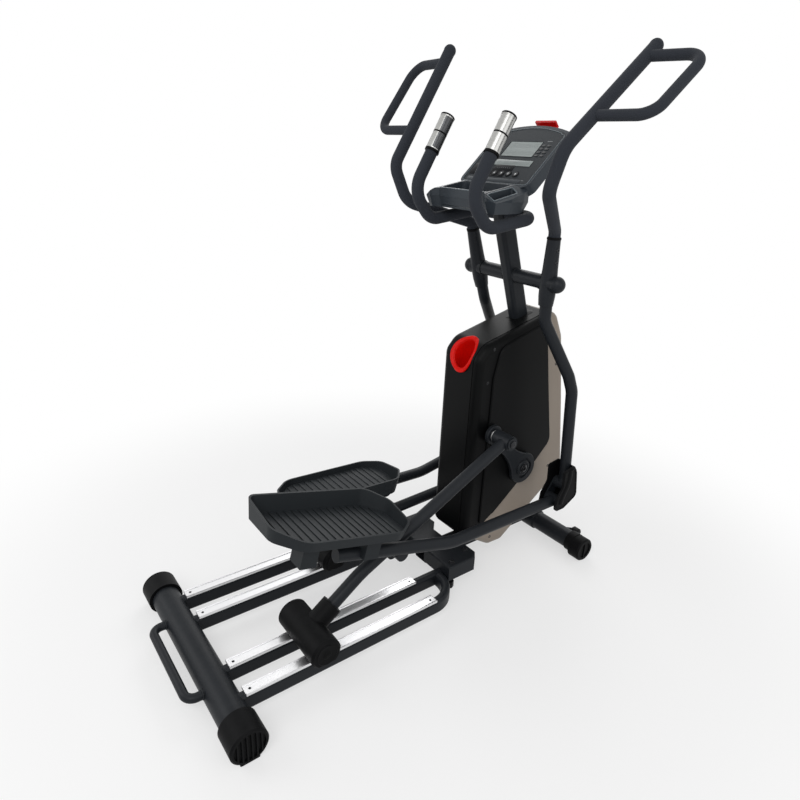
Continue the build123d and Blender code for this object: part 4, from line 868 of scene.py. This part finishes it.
# ---------------------------------------------------------------- pulse sensors
@dataclass
class PulseSensorDetails:
    """Collars, middle band, end cap and dark inner half of each pulse sensor."""

    palette: Palette
    foot: tuple[float, float] = (138.0, 1352.0)
    head: tuple[float, float] = (192.0, 1449.0)
    lane: float = 122.0
    radius: float = 21.0
    away_from_palm: tuple[float, float] = (0.64, -0.77)

    def build(self) -> None:
        """Makes the details on both sensors."""
        for side in Side:
            y = side.value * self.lane
            foot = Vector((self.foot[0], y, self.foot[1]))
            head = Vector((self.head[0], y, self.head[1]))
            length = (head - foot).length
            place = upright(foot, head - foot)
            self.collars(side, place, length)
            self.inner_half(side, place, length)

    def collars(self, side: Side, place: Matrix, length: float) -> None:
        """Black rings at the foot, the middle and the top."""
        r = self.radius
        rings = Piece(f"sensor_collars_{side.word}")
        rings.lathe([(r - 2, -1.5), (r + 0.2, -1.0), (r + 0.5, 0.5), (r + 0.5, 4.5),
                     (r, 6.0), (r - 2, 6.0)], place, 48)
        mid = length / 2
        rings.lathe([(r - 2.6, mid - 2.2), (r - 0.5, mid - 2.2), (r - 0.5, mid + 2.2),
                     (r - 2.6, mid + 2.2)], place, 48)
        rings.lathe([(r - 4, length - 5), (r + 0.3, length - 5), (r + 0.4, length - 1.5),
                     (r - 1.6, length + 0.6), (r - 5, length + 1.0), (0, length + 1.0),
                     (0, length - 5)], place, 48)
        rings.done(self.palette, "cap_plastic", "frame", "sensor_metal")

    def inner_half(self, side: Side, place: Matrix, length: float) -> None:
        """Dark half of the sleeve, away from the rider's palm."""
        ahead, inward = self.away_from_palm
        local = place.to_3x3().inverted() @ Vector((ahead, side.value * inward, 0.0))
        facing = math.degrees(math.atan2(local.y, local.x))
        dark = Piece(f"sensor_inner_half_{side.word}")
        for low, high in ((8, length / 2 - 2.4), (length / 2 + 2.4, length - 7)):
            dark.sleeve(self.radius - 1.2, 0.75, low, high, facing, 176, place)
        dark.done(self.palette, "sensor_dark", "frame", "sensor_metal")


# ---------------------------------------------------------------- housing
@dataclass
class HousingDetails:
    """Screws, the mast seal and crank collars of the drive housing."""

    palette: Palette
    side_face: float = 85.0
    panel_face: float = 91.5
    shoulder_screws: tuple[tuple[float, float], ...] = (
        (246.0, 690.0), (262.0, 797.0), (246.0, 420.0), (490.0, 860.0), (330.0, 92.0))
    band_screws: tuple[tuple[float, float], ...] = ((600.0, 300.0), (566.0, 700.0), (430.0, 110.0))
    crank: tuple[float, float] = (435.0, 348.0)
    mast_foot: tuple[float, float, float] = (450.0, 0.0, 865.4)
    top_slope: float = 15.4
    collar: tuple[tuple[float, float], ...] = (
        (32.5, 0), (41, 0), (40.4, 2.0), (38, 3.2), (34.6, 3.2), (32.5, 1.8))

    def build(self) -> None:
        """Makes the details on both halves."""
        self.mast_seal()
        for side in Side:
            for slot, name, spots in (
                    ("housing_black", "housing_screws", self.shoulder_screws),
                    ("band_white", "band_screws", self.band_screws)):
                screws = Piece(f"{name}_{side.word}")
                for x, z in spots:
                    place = upright((x, side.value * (self.side_face - 1.2), z),
                                    (0, side.value, 0))
                    screws.head(place, 4.2, 1.8, 20, 0.55)
                screws.done(self.palette, "screw_steel", "frame", slot)
            self.screw_wells(side)
            self.crank_collar(side)

    def mast_seal(self) -> None:
        """Soft seal that closes the housing's top around the mast."""
        turn = Matrix.Rotation(math.radians(-self.top_slope), 4, "Y")
        seal = Piece("mast_seal")
        seal.plate(box_outline(84, 54, radius=10), 2.5,
                   Matrix.Translation(self.mast_foot) @ turn, 1.0)
        seal.done(self.palette, "housing_plastic", "frame", "housing_black")

    def screw_wells(self, side: Side) -> None:
        """Painted shade: a near-black ring around each screw, where shade falls round its head."""
        shade_rings = Piece(f"housing_screw_wells_{side.word}")
        for x, z in (*self.shoulder_screws, *self.band_screws):
            place = upright((x, side.value * (self.side_face - 0.5), z), (0, side.value, 0))
            shade_rings.lathe([(4.4, 0.0), (5.6, 0.0), (5.4, 0.7), (4.6, 0.7)], place, 24)
        shade_rings.done(self.palette, "shadow_gap", "frame", "housing_black")

    def crank_collar(self, side: Side) -> None:
        """Rounded collar where the crank's axle leaves the panel."""
        x, z = self.crank
        collar = Piece(f"housing_crank_collar_{side.word}")
        start = self.panel_face - 2.5
        place = upright((x, side.value * start, z), (0, side.value, 0))
        collar.lathe(self.collar, place, 56)
        collar.done(self.palette, "housing_plastic", "frame", "housing_black")


# ---------------------------------------------------------------- crank and rods
@dataclass
class CrankDetails:
    """Hub bolts, dished covers, pin bolts and bright washers of the drive."""

    palette: Palette
    hub: tuple[float, float] = (435.0, 348.0)
    throw: float = 230.0
    angle: float = 134.0
    plate_face: float = 111.0
    eye_face: float = 191.0
    dish: tuple[tuple[float, float], ...] = (
        (0, -4.0), (28.0, -4.0), (28.6, -2.6), (27.6, -0.2), (25.0, 1.6), (21.0, 2.2),
        (17.0, 1.4), (15.5, 0.6), (0, 0.6))
    washers: tuple[tuple[float, float], ...] = ((112.4, 19.6), (115.6, 21.8))

    def pin(self, side: Side) -> tuple[float, float]:
        """Centre of a crank pin, half a turn apart from the other."""
        turn = math.radians(self.angle + (180 if side is Side.LEFT else 0))
        return (self.hub[0] + self.throw * math.cos(turn),
                self.hub[1] + self.throw * math.sin(turn))

    def build(self) -> None:
        """Makes the crank's and the rods' fastenings."""
        for side in Side:
            out = (0, side.value, 0)
            x, z = self.hub
            dish = Piece(f"crank_hub_dish_{side.word}")
            place = upright((x, side.value * self.plate_face, z), out)
            dish.lathe(self.dish, place, 56)
            dish.done(self.palette, "powder_coat", "crank", "frame_black")
            bolt = Piece(f"crank_hub_bolt_{side.word}")
            place = upright((x, side.value * (self.plate_face + 0.5), z), out)
            bolt.lathe([(0, 0), (14.5, 0), (14.5, 2.6), (13.6, 3.3), (0, 3.3)], place, 40)
            place = upright((x, side.value * (self.plate_face + 3.4), z), out)
            bolt.head(place, 8.4, 3.2, 32, 0.5)
            bolt.done(self.palette, "screw_steel", "crank", "drive_metal")
            self.pin_bolt(side, out)

    def pin_bolt(self, side: Side, out: tuple[float, float, float]) -> None:
        """Bolt and washers at one rod's crank end."""
        x, z = self.pin(side)
        bolt = Piece(f"rod_pin_bolt_{side.word}")
        bolt.head(upright((x, side.value * self.eye_face, z), out), 12.5, 3.6, 6, 0.0)
        bolt.head(upright((x, side.value * (self.eye_face + 3.2), z), out), 7.0, 1.2, 28, 0.4)
        bolt.done(self.palette, "screw_steel", f"slider_{side.word}", "drive_metal")
        rings = Piece(f"rod_pin_washers_{side.word}")
        for start, radius in self.washers:
            place = upright((x, side.value * start, z), out)
            rings.lathe([(radius - 4, 0), (radius, 0), (radius + 0.3, 0.7), (radius, 1.5),
                         (radius - 4, 1.5)], place, 48)
        rings.done(self.palette, "bright_zinc", f"slider_{side.word}", "drive_metal")


# ---------------------------------------------------------------- bottle cup
@dataclass
class CupDetails:
    """Rounded rim and flared mouth of the bottle cup, in place of its plain solid."""

    palette: Palette
    origin: tuple[float, float, float] = (228.0, 0.0, 763.0)
    slope: float = 60.0
    lean: float = 24.0
    rim: tuple[tuple[float, float, float], ...] = (
        (38.0, 49.0, 0.0), (38.2, 49.2, 1.0), (48.8, 60.8, 1.0), (49.8, 61.8, 2.0),
        (50.6, 62.6, 2.6), (50.8, 62.8, 4.0), (50.2, 62.2, 5.4), (49.0, 61.0, 6.3),
        (47.4, 59.4, 6.6), (45.8, 57.8, 6.2), (44.4, 56.4, 5.2), (40.2, 51.8, 1.0),
        (36.6, 47.6, -2.6))
    wall: tuple[tuple[float, float, float], ...] = (
        (35.4, 46.2, -10.0), (35.0, 45.0, -24.0), (34.8, 41.0, -42.0), (34.6, 36.5, -60.0),
        (34.0, 34.2, -70.0), (31.0, 31.0, -74.4))
    jacket: tuple[tuple[float, float, float], ...] = (
        (38.0, 48.0, -16.0), (37.8, 43.0, -42.0), (37.6, 38.2, -66.0), (37.0, 37.0, -77.6))
    jacket_depth: float = 70.0
    facets: int = 72
    bulge: float = 19.0
    bulge_reach: float = 57.0
    bulge_root: float = -3.0

    def __post_init__(self) -> None:
        """Works out the cup's axes: its mouth leans further than its body."""
        slope, lean = math.radians(self.slope), math.radians(self.lean)
        self.start = Vector(self.origin)
        self.across = Vector((0, 1, 0))
        self.normal = Vector((-math.sin(slope), 0, math.cos(slope)))
        self.axis = Vector((-math.sin(lean), 0, math.cos(lean)))
        self.flat = self.across.cross(self.normal)
        self.square = self.across.cross(self.axis)

    def build(self) -> None:
        """Makes the cup and hides the plain one behind it."""
        inside = [(self.start + self.normal * h, a, b, self.flat) for a, b, h in self.rim]
        inside += self.body(self.wall, -self.wall[-1][2])
        outside = self.body(self.jacket, self.jacket_depth)
        cup = Piece("cup_shell")
        cup.hoops(inside[::-1] + outside, self.across, self.facets)
        self.drape(cup)
        made = cup.done(self.palette, "cup_plastic", "frame", "cup_red")
        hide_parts("bottle_cup")

    def body(self, rows: Sequence[tuple[float, float, float]], depth: float) -> list[Hoop]:
        """Lays out hoops down the cup's axis, turning from the mouth's slope to square.

        Args:
            rows: Half width across, half width along and height of each hoop.
            depth: How far down the hoops stand square to the axis.

        Returns:
            The hoops.
        """
        return [(self.start + self.axis * t, a, b,
                 self.flat.lerp(self.square, min(1.0, -t / depth)).normalized())
                for a, b, t in rows]

    def drape(self, cup: Piece) -> None:
        """Bends the rim over the rounded corner of the housing."""
        for corner in cup.mesh.verts:
            offset = corner.co - self.start
            if offset.dot(self.normal) > self.bulge_root:
                reach = min(1.0, abs(offset.dot(self.flat)) / self.bulge_reach)
                corner.co += self.normal * self.bulge * (1.0 - reach * reach)


# ---------------------------------------------------------------- rails and frame
@dataclass
class FrameDetails:
    """Screws, bolts and weld beads on the floor frame, the mast and the axle."""

    palette: Palette
    lanes: tuple[float, float] = (112.0, 218.0)
    hole_inset: float = 15.0
    hole_floor: float = 79.6
    bracket_bolts: tuple[tuple[float, float], ...] = ((104.0, 139.0), (186.0, 112.0))
    bracket_top: float = 110.0
    lip_lane: float = 14.25
    handle_welds: tuple[float, float] = (148.0, 58.0)
    axle: tuple[float, float] = (392.0, 1004.0)
    saddle: tuple[float, float] = (615.0, 49.0)

    def build(self) -> None:
        """Makes every fastening and weld of the frame."""
        self.track_screws()
        self.track_lips()
        self.bolts()
        self.welds()

    def track_screws(self) -> None:
        """Two countersunk screws in each roller track."""
        for side in Side:
            screws = Piece(f"track_screws_{side.word}")
            low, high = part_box(f"track_inner_{side.word}")
            for lane in self.lanes:
                for x in (low.x / MM + self.hole_inset, high.x / MM - self.hole_inset):
                    screws.head(upright((x, side.value * lane, self.hole_floor), (0, 0, 1)),
                                3.7, 2.2, 20, 0.5)
            screws.done(self.palette, "screw_steel", "frame", "track_aluminium")

    def track_lips(self) -> None:
        """Low guide lips along both edges of each roller track."""
        for side in Side:
            for lane_word in ("inner", "outer"):
                low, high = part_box(f"track_{lane_word}_{side.word}")
                middle = (low + high) / (2 * MM)
                lips = Piece(f"track_lips_{lane_word}_{side.word}")
                long = (high.x - low.x) / MM - 0.4
                for way in (-1, 1):
                    spot = (middle.x, middle.y + way * self.lip_lane, high.z / MM - 0.1)
                    lips.plate(box_outline(long, 3.4), 2.6, Matrix.Translation(spot), 0.7)
                lips.done(self.palette, "track_aluminium", "frame", "track_aluminium")

    def bolts(self) -> None:
        """Hex bolts with washers on the cross bracket, and the transport wheels' axle bolts."""
        for side in Side:
            bolts = Piece(f"bracket_bolts_{side.word}")
            for x, y in self.bracket_bolts:
                place = upright((x, side.value * y, self.bracket_top), (0, 0, 1))
                bolts.lathe([(0, -0.5), (9.5, -0.5), (9.5, 1.4), (9.0, 1.9), (0, 1.9)], place, 32)
                place = upright((x, side.value * y, self.bracket_top + 1.6), (0, 0, 1))
                bolts.head(place, 7.2, 4.6, 6, 0.0)
            low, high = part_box(f"transport_wheel_{side.word}")
            hub = (low + high) / (2 * MM)
            for way in (-1, 1):
                face = hub.y + way * 18.4
                bolts.head(upright((hub.x - 4, face, hub.z), (0, way, 0)), 6.2, 3.6, 6, 0.0)
            bolts.done(self.palette, "screw_steel", "frame", "drive_metal")

    @staticmethod
    def weld(piece: Piece, place: Matrix, radius: float, size: float) -> None:
        """Adds one rippled bead around a tube of the given radius."""
        ring = [(radius + size * math.cos(a) * 0.9, size * math.sin(a))
                for a in (math.tau * k / 8 for k in range(8))]
        piece.lathe(ring, place, 68, 0.2)

    def welds(self) -> None:
        """Beads at the carry handle, the front saddle and the swing axle."""
        beads = Piece("frame_welds")
        low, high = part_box("rear_stabilizer_tube")
        tube_back = high.x / MM - 80.0
        y, z = self.handle_welds
        for way in (-1, 1):
            self.weld(beads, upright((tube_back + 0.6, way * y, z), (1, 0, 0)), 12.0, 2.6)
            for (at_x, at_z), lane, radius, size in ((self.axle, 21.5, 22.0, 2.3),
                                                     (self.saddle, 62.5, 34.0, 1.8)):
                self.weld(beads, upright((at_x, way * lane, at_z), (0, 1, 0)), radius, size)
        beads.done(self.palette, "powder_coat", "frame", "frame_black")


# ---------------------------------------------------------------- swing arms
@dataclass
class SwingArmDetails:
    """Sleeve screws, grip ferrules and moulded ribs of the swing arms."""

    palette: Palette
    pivot: tuple[float, float] = (392.0, 1004.0)
    lane: float = 152.0
    foot_lane: float = 220.0
    foot: tuple[float, float] = (92.0, -742.0)
    rest_angle: dict[Side, float] = field(default_factory=lambda: {Side.RIGHT: 0.0,
                                                                   Side.LEFT: -18.0})
    boot_face: float = 35.0
    boot_edge: tuple[tuple[float, float], ...] = (
        (-30, 0), (-28, 22), (-4, 66), (-6, 120), (38, 126), (52, 108), (68, 12), (12, -15),
        (-14, -16))
    boot_spine: tuple[tuple[float, float], ...] = (
        (24, 124), (24, 92), (18, 62), (4, 34), (-4, 14), (-6, 2))
    spine_squash: float = 0.36

    def turned(self, side: Side, x: float, z: float) -> tuple[float, float]:
        """Turns a point of an arm with its rest angle."""
        a = math.radians(self.rest_angle[side])
        return x * math.cos(a) + z * math.sin(a), z * math.cos(a) - x * math.sin(a)

    def point(self, side: Side, x: float, y: float, z: float) -> Vector:
        """Point of a swing arm, given beside its pivot, with y outboard."""
        dx, dz = self.turned(side, x, z)
        return Vector((self.pivot[0] + dx, side.value * y, self.pivot[1] + dz))

    def build(self) -> None:
        """Makes the details of both arms."""
        for side in Side:
            self.sleeve_screws(side)
            self.ferrule(side)
            self.boot(side)

    def sleeve_screws(self, side: Side) -> None:
        """Two clamp screws on the outside of each pivot sleeve."""
        screws = Piece(f"sleeve_screws_{side.word}")
        for height, out in ((98.0, 19.9), (62.0, 21.4)):
            place = upright(self.point(side, -2, self.lane + out - 0.6, height),
                            (0, side.value, 0))
            screws.head(place, 5.6, 3.4, 24, 0.5)
        screws.done(self.palette, "screw_steel", f"swing_{side.word}", "drive_metal")

    def ferrule(self, side: Side) -> None:
        """Plastic ring where the foam meets the sleeve."""
        low = self.point(side, 0, self.lane, 126.4)
        high = self.point(side, 0, self.lane, 150.0)
        ring = Piece(f"grip_ferrule_{side.word}")
        ring.lathe([(17.8, 0.4), (20.6, 0.4), (21.2, 1.4), (21.0, 6.4), (20.0, 7.6), (17.8, 7.6)],
                   upright(low, high - low), 48)
        ring.done(self.palette, "cap_plastic", f"swing_{side.word}", "cap_black")

    def boot_line(self, side: Side, line: Iterable[tuple[float, float]],
                  face: float) -> list[tuple[float, float, float]]:
        """Places a flat line on one face of a foot joint's cover.

        Args:
            side: Which arm.
            line: Its points, beside the foot joint.
            face: Where the face lies along Y.

        Returns:
            The placed points.
        """
        foot = self.point(side, self.foot[0], self.foot_lane, self.foot[1])
        turned = (self.turned(side, x, z) for x, z in line)
        return [(foot.x + dx, face, foot.z + dz) for dx, dz in turned]

    def boot(self, side: Side) -> None:
        """Raised edge and spine moulded into the cover over each foot joint."""
        ribs = Piece(f"joint_cover_ribs_{side.word}")
        for way in (-1, 1):
            face = side.value * (self.foot_lane + way * self.boot_face)
            ribs.bead(self.boot_line(side, rounded(self.boot_edge, 10), face), 1.7)
            squash = (Matrix.Translation((0, face, 0))
                      @ Matrix.Scale(self.spine_squash, 4, (0, 1, 0))
                      @ Matrix.Translation((0, -face, 0)))
            ribs.bead(self.boot_line(side, self.boot_spine, face), 11.0, closed=False,
                      flatten=squash)
        ribs.done(self.palette, "cap_plastic", f"swing_{side.word}", "cap_black")


# ---------------------------------------------------------------- carriages and pedals
@dataclass
class CarriageDetails:
    """End plugs of the roller carriages."""

    palette: Palette
    roller_height: float = 118.0
    plug: tuple[tuple[float, float], ...] = (
        (6, 0), (30, 0), (30.5, 1.0), (29, 2.6), (25, 2.0), (12, 2.0), (10.5, 3.4), (6, 3.4))

    def build(self) -> None:
        """Makes the details of both sides."""
        for side in Side:
            low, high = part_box(f"rollers_{side.word}")
            middle = (low + high) / (2 * MM)
            carriage_low, carriage_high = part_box(f"carriage_{side.word}")
            plugs = Piece(f"carriage_end_plugs_{side.word}")
            for way, face in ((-1, carriage_low.y / MM), (1, carriage_high.y / MM)):
                place = upright((middle.x, face - way * 1.0, self.roller_height), (0, way, 0))
                plugs.lathe(self.plug, place, 56)
                plugs.head(upright((middle.x, face + way * 0.4, self.roller_height),
                                   (0, way, 0)), 8.5, 2.8, 6, 0.0)
            plugs.done(self.palette, "cap_plastic", f"slider_{side.word}", "cap_black")


# ---------------------------------------------------------------- studio
WHITE = (1.0, 1.0, 1.0, 1.0)


@dataclass
class Studio:
    """Pale floor, soft lamps and the camera."""

    eye: tuple[float, float, float] = (-1.0548, -1.3537, 1.3475)
    yaw: float = 51.6
    pitch: float = -21.6
    roll: float = 2.9
    lens: float = 27.67
    shift: tuple[float, float] = (-0.0161, -0.0048)
    floor_reach: float = 9.0
    fade_reach: tuple[float, float] = (0.95, 1.9)
    near_white: float = 0.55
    paper_grey: float = 0.9
    air: float = 0.42
    aim: tuple[float, float, float] = (0.05, 0.0, 0.6)
    lamps: tuple[tuple[str, tuple[float, float, float], float, float], ...] = (
        ("key", (-2.6, -2.2, 3.4), 2.6, 70.0), ("fill", (0.4, -3.6, 1.9), 2.8, 27.0),
        ("back", (2.4, 2.4, 3.0), 2.6, 42.0), ("left", (-2.8, 2.0, 2.2), 2.2, 28.0))

    def build(self) -> None:
        """Makes the floor, the lamps, the world and the camera."""
        self.floor()
        for name, place, size, power in self.lamps:
            self.lamp(name, place, size, power)
        self.world()
        self.camera()

    def floor(self) -> None:
        """Makes the pale floor."""
        mesh = bmesh.new()
        bmesh.ops.create_grid(mesh, x_segments=1, y_segments=1, size=self.floor_reach)
        data = bpy.data.meshes.new("studio_floor")
        mesh.to_mesh(data)
        mesh.free()
        made = bpy.data.objects.new("studio_floor", data)
        bpy.context.scene.collection.objects.link(made)
        data.materials.append(self.paper())

    def paper(self) -> bpy.types.Material:
        """Makes the floor's paper, lit near the machine and plain white further out."""
        material = bpy.data.materials.new("studio_paper")
        material.use_nodes = True
        wiring = Wiring(material.node_tree)
        shader = material.node_tree.nodes["Principled BSDF"]
        wiring.feed(shader, {"Base Color": (*[self.paper_grey] * 3, 1.0), "Roughness": 0.9,
                             "Specular IOR Level": 0.1})
        white = wiring.node("ShaderNodeEmission", {"Color": WHITE, "Strength": 1.0})
        place = wiring.node("ShaderNodeTexCoord").outputs["Object"]
        reach = wiring.node("ShaderNodeVectorMath", {0: place}, operation="LENGTH")
        fade = wiring.node("ShaderNodeMapRange", interpolation_type="SMOOTHSTEP")
        wiring.feed(fade, {"Value": reach.outputs["Value"], "From Min": self.fade_reach[0],
                           "From Max": self.fade_reach[1], "To Min": self.near_white,
                           "To Max": 1.0})
        seen = wiring.sums("MULTIPLY", fade.outputs["Result"], self.seen_rays(wiring))
        mix = wiring.node("ShaderNodeMixShader", {"Fac": seen, 1: shader.outputs["BSDF"],
                                                  2: white.outputs["Emission"]})
        wiring.feed(material.node_tree.nodes["Material Output"],
                    {"Surface": mix.outputs["Shader"]})
        return material

    @staticmethod
    def seen_rays(wiring: Wiring) -> bpy.types.NodeSocket:
        """Marks what the camera, a reflection or clear glass sees.

        Args:
            wiring: The material's or the world's nodes.

        Returns:
            A socket that is 1 for those rays and 0 for light.
        """
        rays = wiring.node("ShaderNodeLightPath").outputs
        total = rays["Is Camera Ray"]
        for name in ("Is Glossy Ray", "Is Transmission Ray"):
            total = wiring.sums("MAXIMUM", total, rays[name])
        return total

    def lamp(self, name: str, place: tuple[float, float, float], size: float,
             power: float) -> None:
        """Makes one soft lamp aimed at the middle of the machine."""
        data = bpy.data.lights.new(f"lamp_{name}", "AREA")
        data.energy, data.size = power, size
        made = bpy.data.objects.new(f"lamp_{name}", data)
        made.location = place
        aim = Vector(self.aim) - Vector(place)
        made.rotation_euler = aim.to_track_quat("-Z", "Y").to_euler()
        bpy.context.scene.collection.objects.link(made)

    def world(self) -> None:
        """Fills the surroundings with even light that looks white to the camera."""
        world = bpy.data.worlds.new("studio_air")
        world.use_nodes = True
        wiring = Wiring(world.node_tree)
        plain = world.node_tree.nodes["Background"]
        wiring.feed(plain, {"Color": WHITE, "Strength": self.air})
        seen = wiring.node("ShaderNodeBackground", {"Color": WHITE, "Strength": 1.0})
        mix = wiring.node("ShaderNodeMixShader", {"Fac": self.seen_rays(wiring),
                                                  1: plain.outputs["Background"],
                                                  2: seen.outputs["Background"]})
        wiring.feed(world.node_tree.nodes["World Output"], {"Surface": mix.outputs["Shader"]})
        bpy.context.scene.world = world

    def camera(self) -> None:
        """Places the camera and makes it the scene's."""
        yaw, pitch, roll = (math.radians(a) for a in (self.yaw, self.pitch, self.roll))
        ahead = Vector((math.cos(pitch) * math.cos(yaw), math.cos(pitch) * math.sin(yaw),
                        math.sin(pitch)))
        right = ahead.cross(Vector((0, 0, 1))).normalized()
        up = right.cross(ahead)
        level_right = right * math.cos(roll) + up * math.sin(roll)
        level_up = up * math.cos(roll) - right * math.sin(roll)
        data = bpy.data.cameras.new("studio_camera")
        data.lens, data.sensor_width = self.lens, 36.0
        data.shift_x, data.shift_y = self.shift
        made = bpy.data.objects.new("studio_camera", data)
        turn = Matrix((level_right, level_up, -ahead)).transposed().to_4x4()
        made.matrix_world = Matrix.Translation(self.eye) @ turn
        bpy.context.scene.collection.objects.link(made)
        bpy.context.scene.camera = made


# ---------------------------------------------------------------- main
def main() -> None:
    """Builds the studio, dresses the CAD nodes and adds the fine parts."""
    logging.basicConfig(level=logging.INFO, format="%(name)s: %(message)s")
    bpy.context.scene.view_settings.view_transform = "Standard"
    Studio().build()
    palette = Palette()
    dress_nodes(palette)
    for details in (ConsoleDetails, PulseSensorDetails, HousingDetails, CupDetails, CrankDetails,
                    FrameDetails, SwingArmDetails, CarriageDetails):
        details(palette).build()


if __name__ == "__main__":
    main()
